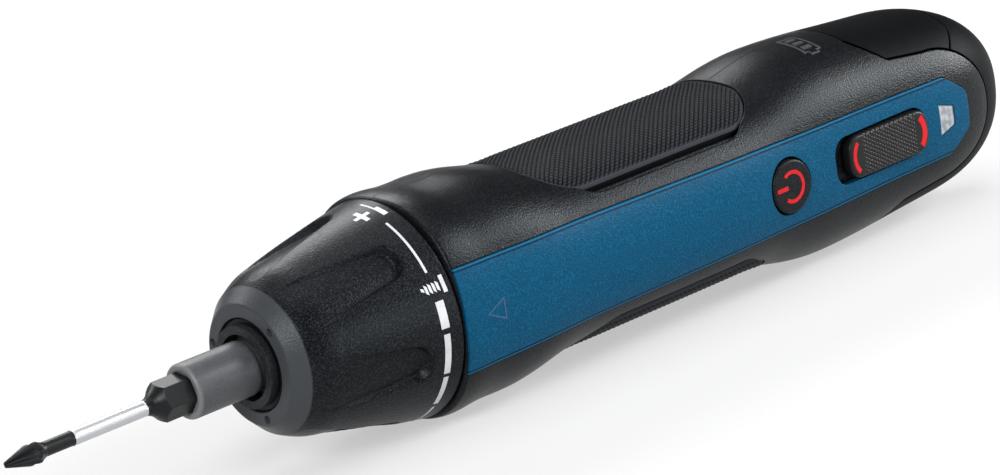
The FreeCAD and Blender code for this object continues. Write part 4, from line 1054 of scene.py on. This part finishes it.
CAMERA_PLACE = (-365.04, -526.7, 207.97)
CAMERA_AXES = ((0.73252, -0.66534, -0.14398), (0.29543, 0.12015, 0.94778), (-0.6133, -0.73681, 0.28457))
SENSOR_WIDTH, CLIP_START = 36.0, 0.01
FLOOR_Z, FLOOR_HALF = -20.7, 6.0
FLOOR_GREY, FLOOR_GLOW, SKY_STRENGTH = 0.55, 0.5, 0.05
LAMP_TARGET, LAMP_REACH = (0.08, 0.0, 0.0), 0.9
# Each lamp's direction from the target, its sides in metres and its watts
LAMPS = {
    "overhead": ((0.05, 0.0, 1.0), (0.7, 0.7), 3.9),
    "back": ((0.32, 0.71, 0.60), (0.4, 0.3), 4.6),
    "side": ((0.61, -0.56, 0.56), (0.3, 0.3), 4.5),
    "low_side": ((0.17, -0.97, 0.17), (0.3, 0.3), 2.5),
    "rear": ((0.9, -0.3, 0.3), (0.3, 0.3), 7.5),
    "left": ((-0.3, 0.8, 0.5), (0.3, 0.3), 3.0),
    "front": ((-0.79, -0.37, 0.49), (0.3, 0.3), 7.0),
}


def shown_white(f, level):
    """Mixes an emission of a level over a finish for camera, glossy and transmission rays."""
    rays = f.add("ShaderNodeLightPath").outputs
    seen = f.math("MAXIMUM", rays["Is Camera Ray"], rays["Is Glossy Ray"])
    seen = f.math("MAXIMUM", seen, rays["Is Transmission Ray"])
    glow = f.add("ShaderNodeEmission").outputs[0]
    mix = f.add("ShaderNodeMixShader", {0: f.math("MULTIPLY", seen, level), 1: f.shader.outputs[0], 2: glow})
    f.links.new(mix.outputs[0], f.nodes["Material Output"].inputs["Surface"])


def lay_floor():
    """A wide pale sheet under the tool."""
    mesh = bpy.data.meshes.new("floor")
    corners = [(x * FLOOR_HALF, y * FLOOR_HALF, FLOOR_Z * MM) for x, y in ((-1, -1), (1, -1), (1, 1), (-1, 1))]
    mesh.from_pydata(corners, [], [(0, 1, 2, 3)])
    floor = placed("floor", mesh)
    paper = Finish("floor_paper", (FLOOR_GREY,) * 3, 0.9, specular=0.1)
    shown_white(paper, FLOOR_GLOW)
    mesh.materials.append(paper.material)


def light_stage(scene):
    """A faint white sky, and rectangular soft lamps aimed at the tool."""
    world = bpy.data.worlds.new("studio")
    world.use_nodes = True
    sky = world.node_tree.nodes["Background"]
    sky.inputs["Color"].default_value = (1.0, 1.0, 1.0, 1.0)
    sky.inputs["Strength"].default_value = SKY_STRENGTH
    scene.world = world
    target = Vector(LAMP_TARGET)
    for name, (aim, sides, watts) in LAMPS.items():
        data = bpy.data.lights.new(name, "AREA")
        data.shape = "RECTANGLE"
        data.size, data.size_y = sides
        data.energy = watts * scene.driver_stage.light
        place = target + LAMP_REACH * Vector(aim).normalized()
        lamp = placed(name, data)
        lamp.location = place
        lamp.rotation_euler = (target - place).to_track_quat("-Z", "Y").to_euler()


def set_camera(scene):
    """The camera, with its place in millimetres and its axes to the right, up and back."""
    data = bpy.data.cameras.new("photo_view")
    data.sensor_fit = "HORIZONTAL"
    data.sensor_width = SENSOR_WIDTH
    data.lens = scene.driver_stage.lens_mm
    data.clip_start = CLIP_START
    camera = placed("photo_view", data)
    turn = Matrix(CAMERA_AXES).transposed().to_4x4()
    camera.matrix_world = Matrix.Translation(Vector(CAMERA_PLACE) * MM) @ turn
    scene.camera = camera


class DRIVER_OT_stage(BuildStep, bpy.types.Operator):
    """Sets up the floor, the light and the camera."""
    bl_idname = "driver.stage"
    bl_label = "Stage"

    def execute(self, context):
        context.scene.view_settings.view_transform = "Standard"
        lay_floor()
        light_stage(context.scene)
        set_camera(context.scene)
        return {"FINISHED"}


class DRIVER_PT_panel(bpy.types.Panel):
    """Lists the building steps and the sizes."""
    bl_idname = "DRIVER_PT_panel"
    bl_label = "Stick screwdriver"
    bl_space_type = "VIEW_3D"
    bl_region_type = "UI"
    bl_category = "Driver"

    def draw(self, context):
        for step in STEPS:
            self.layout.operator(step.bl_idname)
        for group in GROUPS:
            box = self.layout.box()
            values = getattr(context.scene, group)
            for name in values.bl_rna.properties.keys():
                if name not in ("rna_type", "name"):
                    box.prop(values, name)


STEPS = (DRIVER_OT_stage, DRIVER_OT_inside, DRIVER_OT_springs, DRIVER_OT_handle, DRIVER_OT_panel,
         DRIVER_OT_button, DRIVER_OT_switch, DRIVER_OT_grips, DRIVER_OT_collar, DRIVER_OT_collar_print,
         DRIVER_OT_bit, DRIVER_OT_holder)
GROUPS = {"driver_colours": DriverColours, "driver_handle": HandleSizes, "driver_collar": CollarSizes,
          "driver_grip": GripSizes, "driver_stage": StageSizes}


def register():
    """Registers the classes and hangs the sizes on the scene."""
    for kind in (*GROUPS.values(), *STEPS, DRIVER_PT_panel):
        bpy.utils.register_class(kind)
    for name, kind in GROUPS.items():
        setattr(bpy.types.Scene, name, PointerProperty(type=kind))


def unregister():
    """Takes back what register did."""
    for name in GROUPS:
        delattr(bpy.types.Scene, name)
    for kind in (DRIVER_PT_panel, *reversed(STEPS), *reversed(list(GROUPS.values()))):
        bpy.utils.unregister_class(kind)


def main():
    """Runs the building steps in order."""
    register()
    for step in STEPS:
        group, name = step.bl_idname.split(".")
        getattr(getattr(bpy.ops, group), name)()


if __name__ == "__main__":
    main()
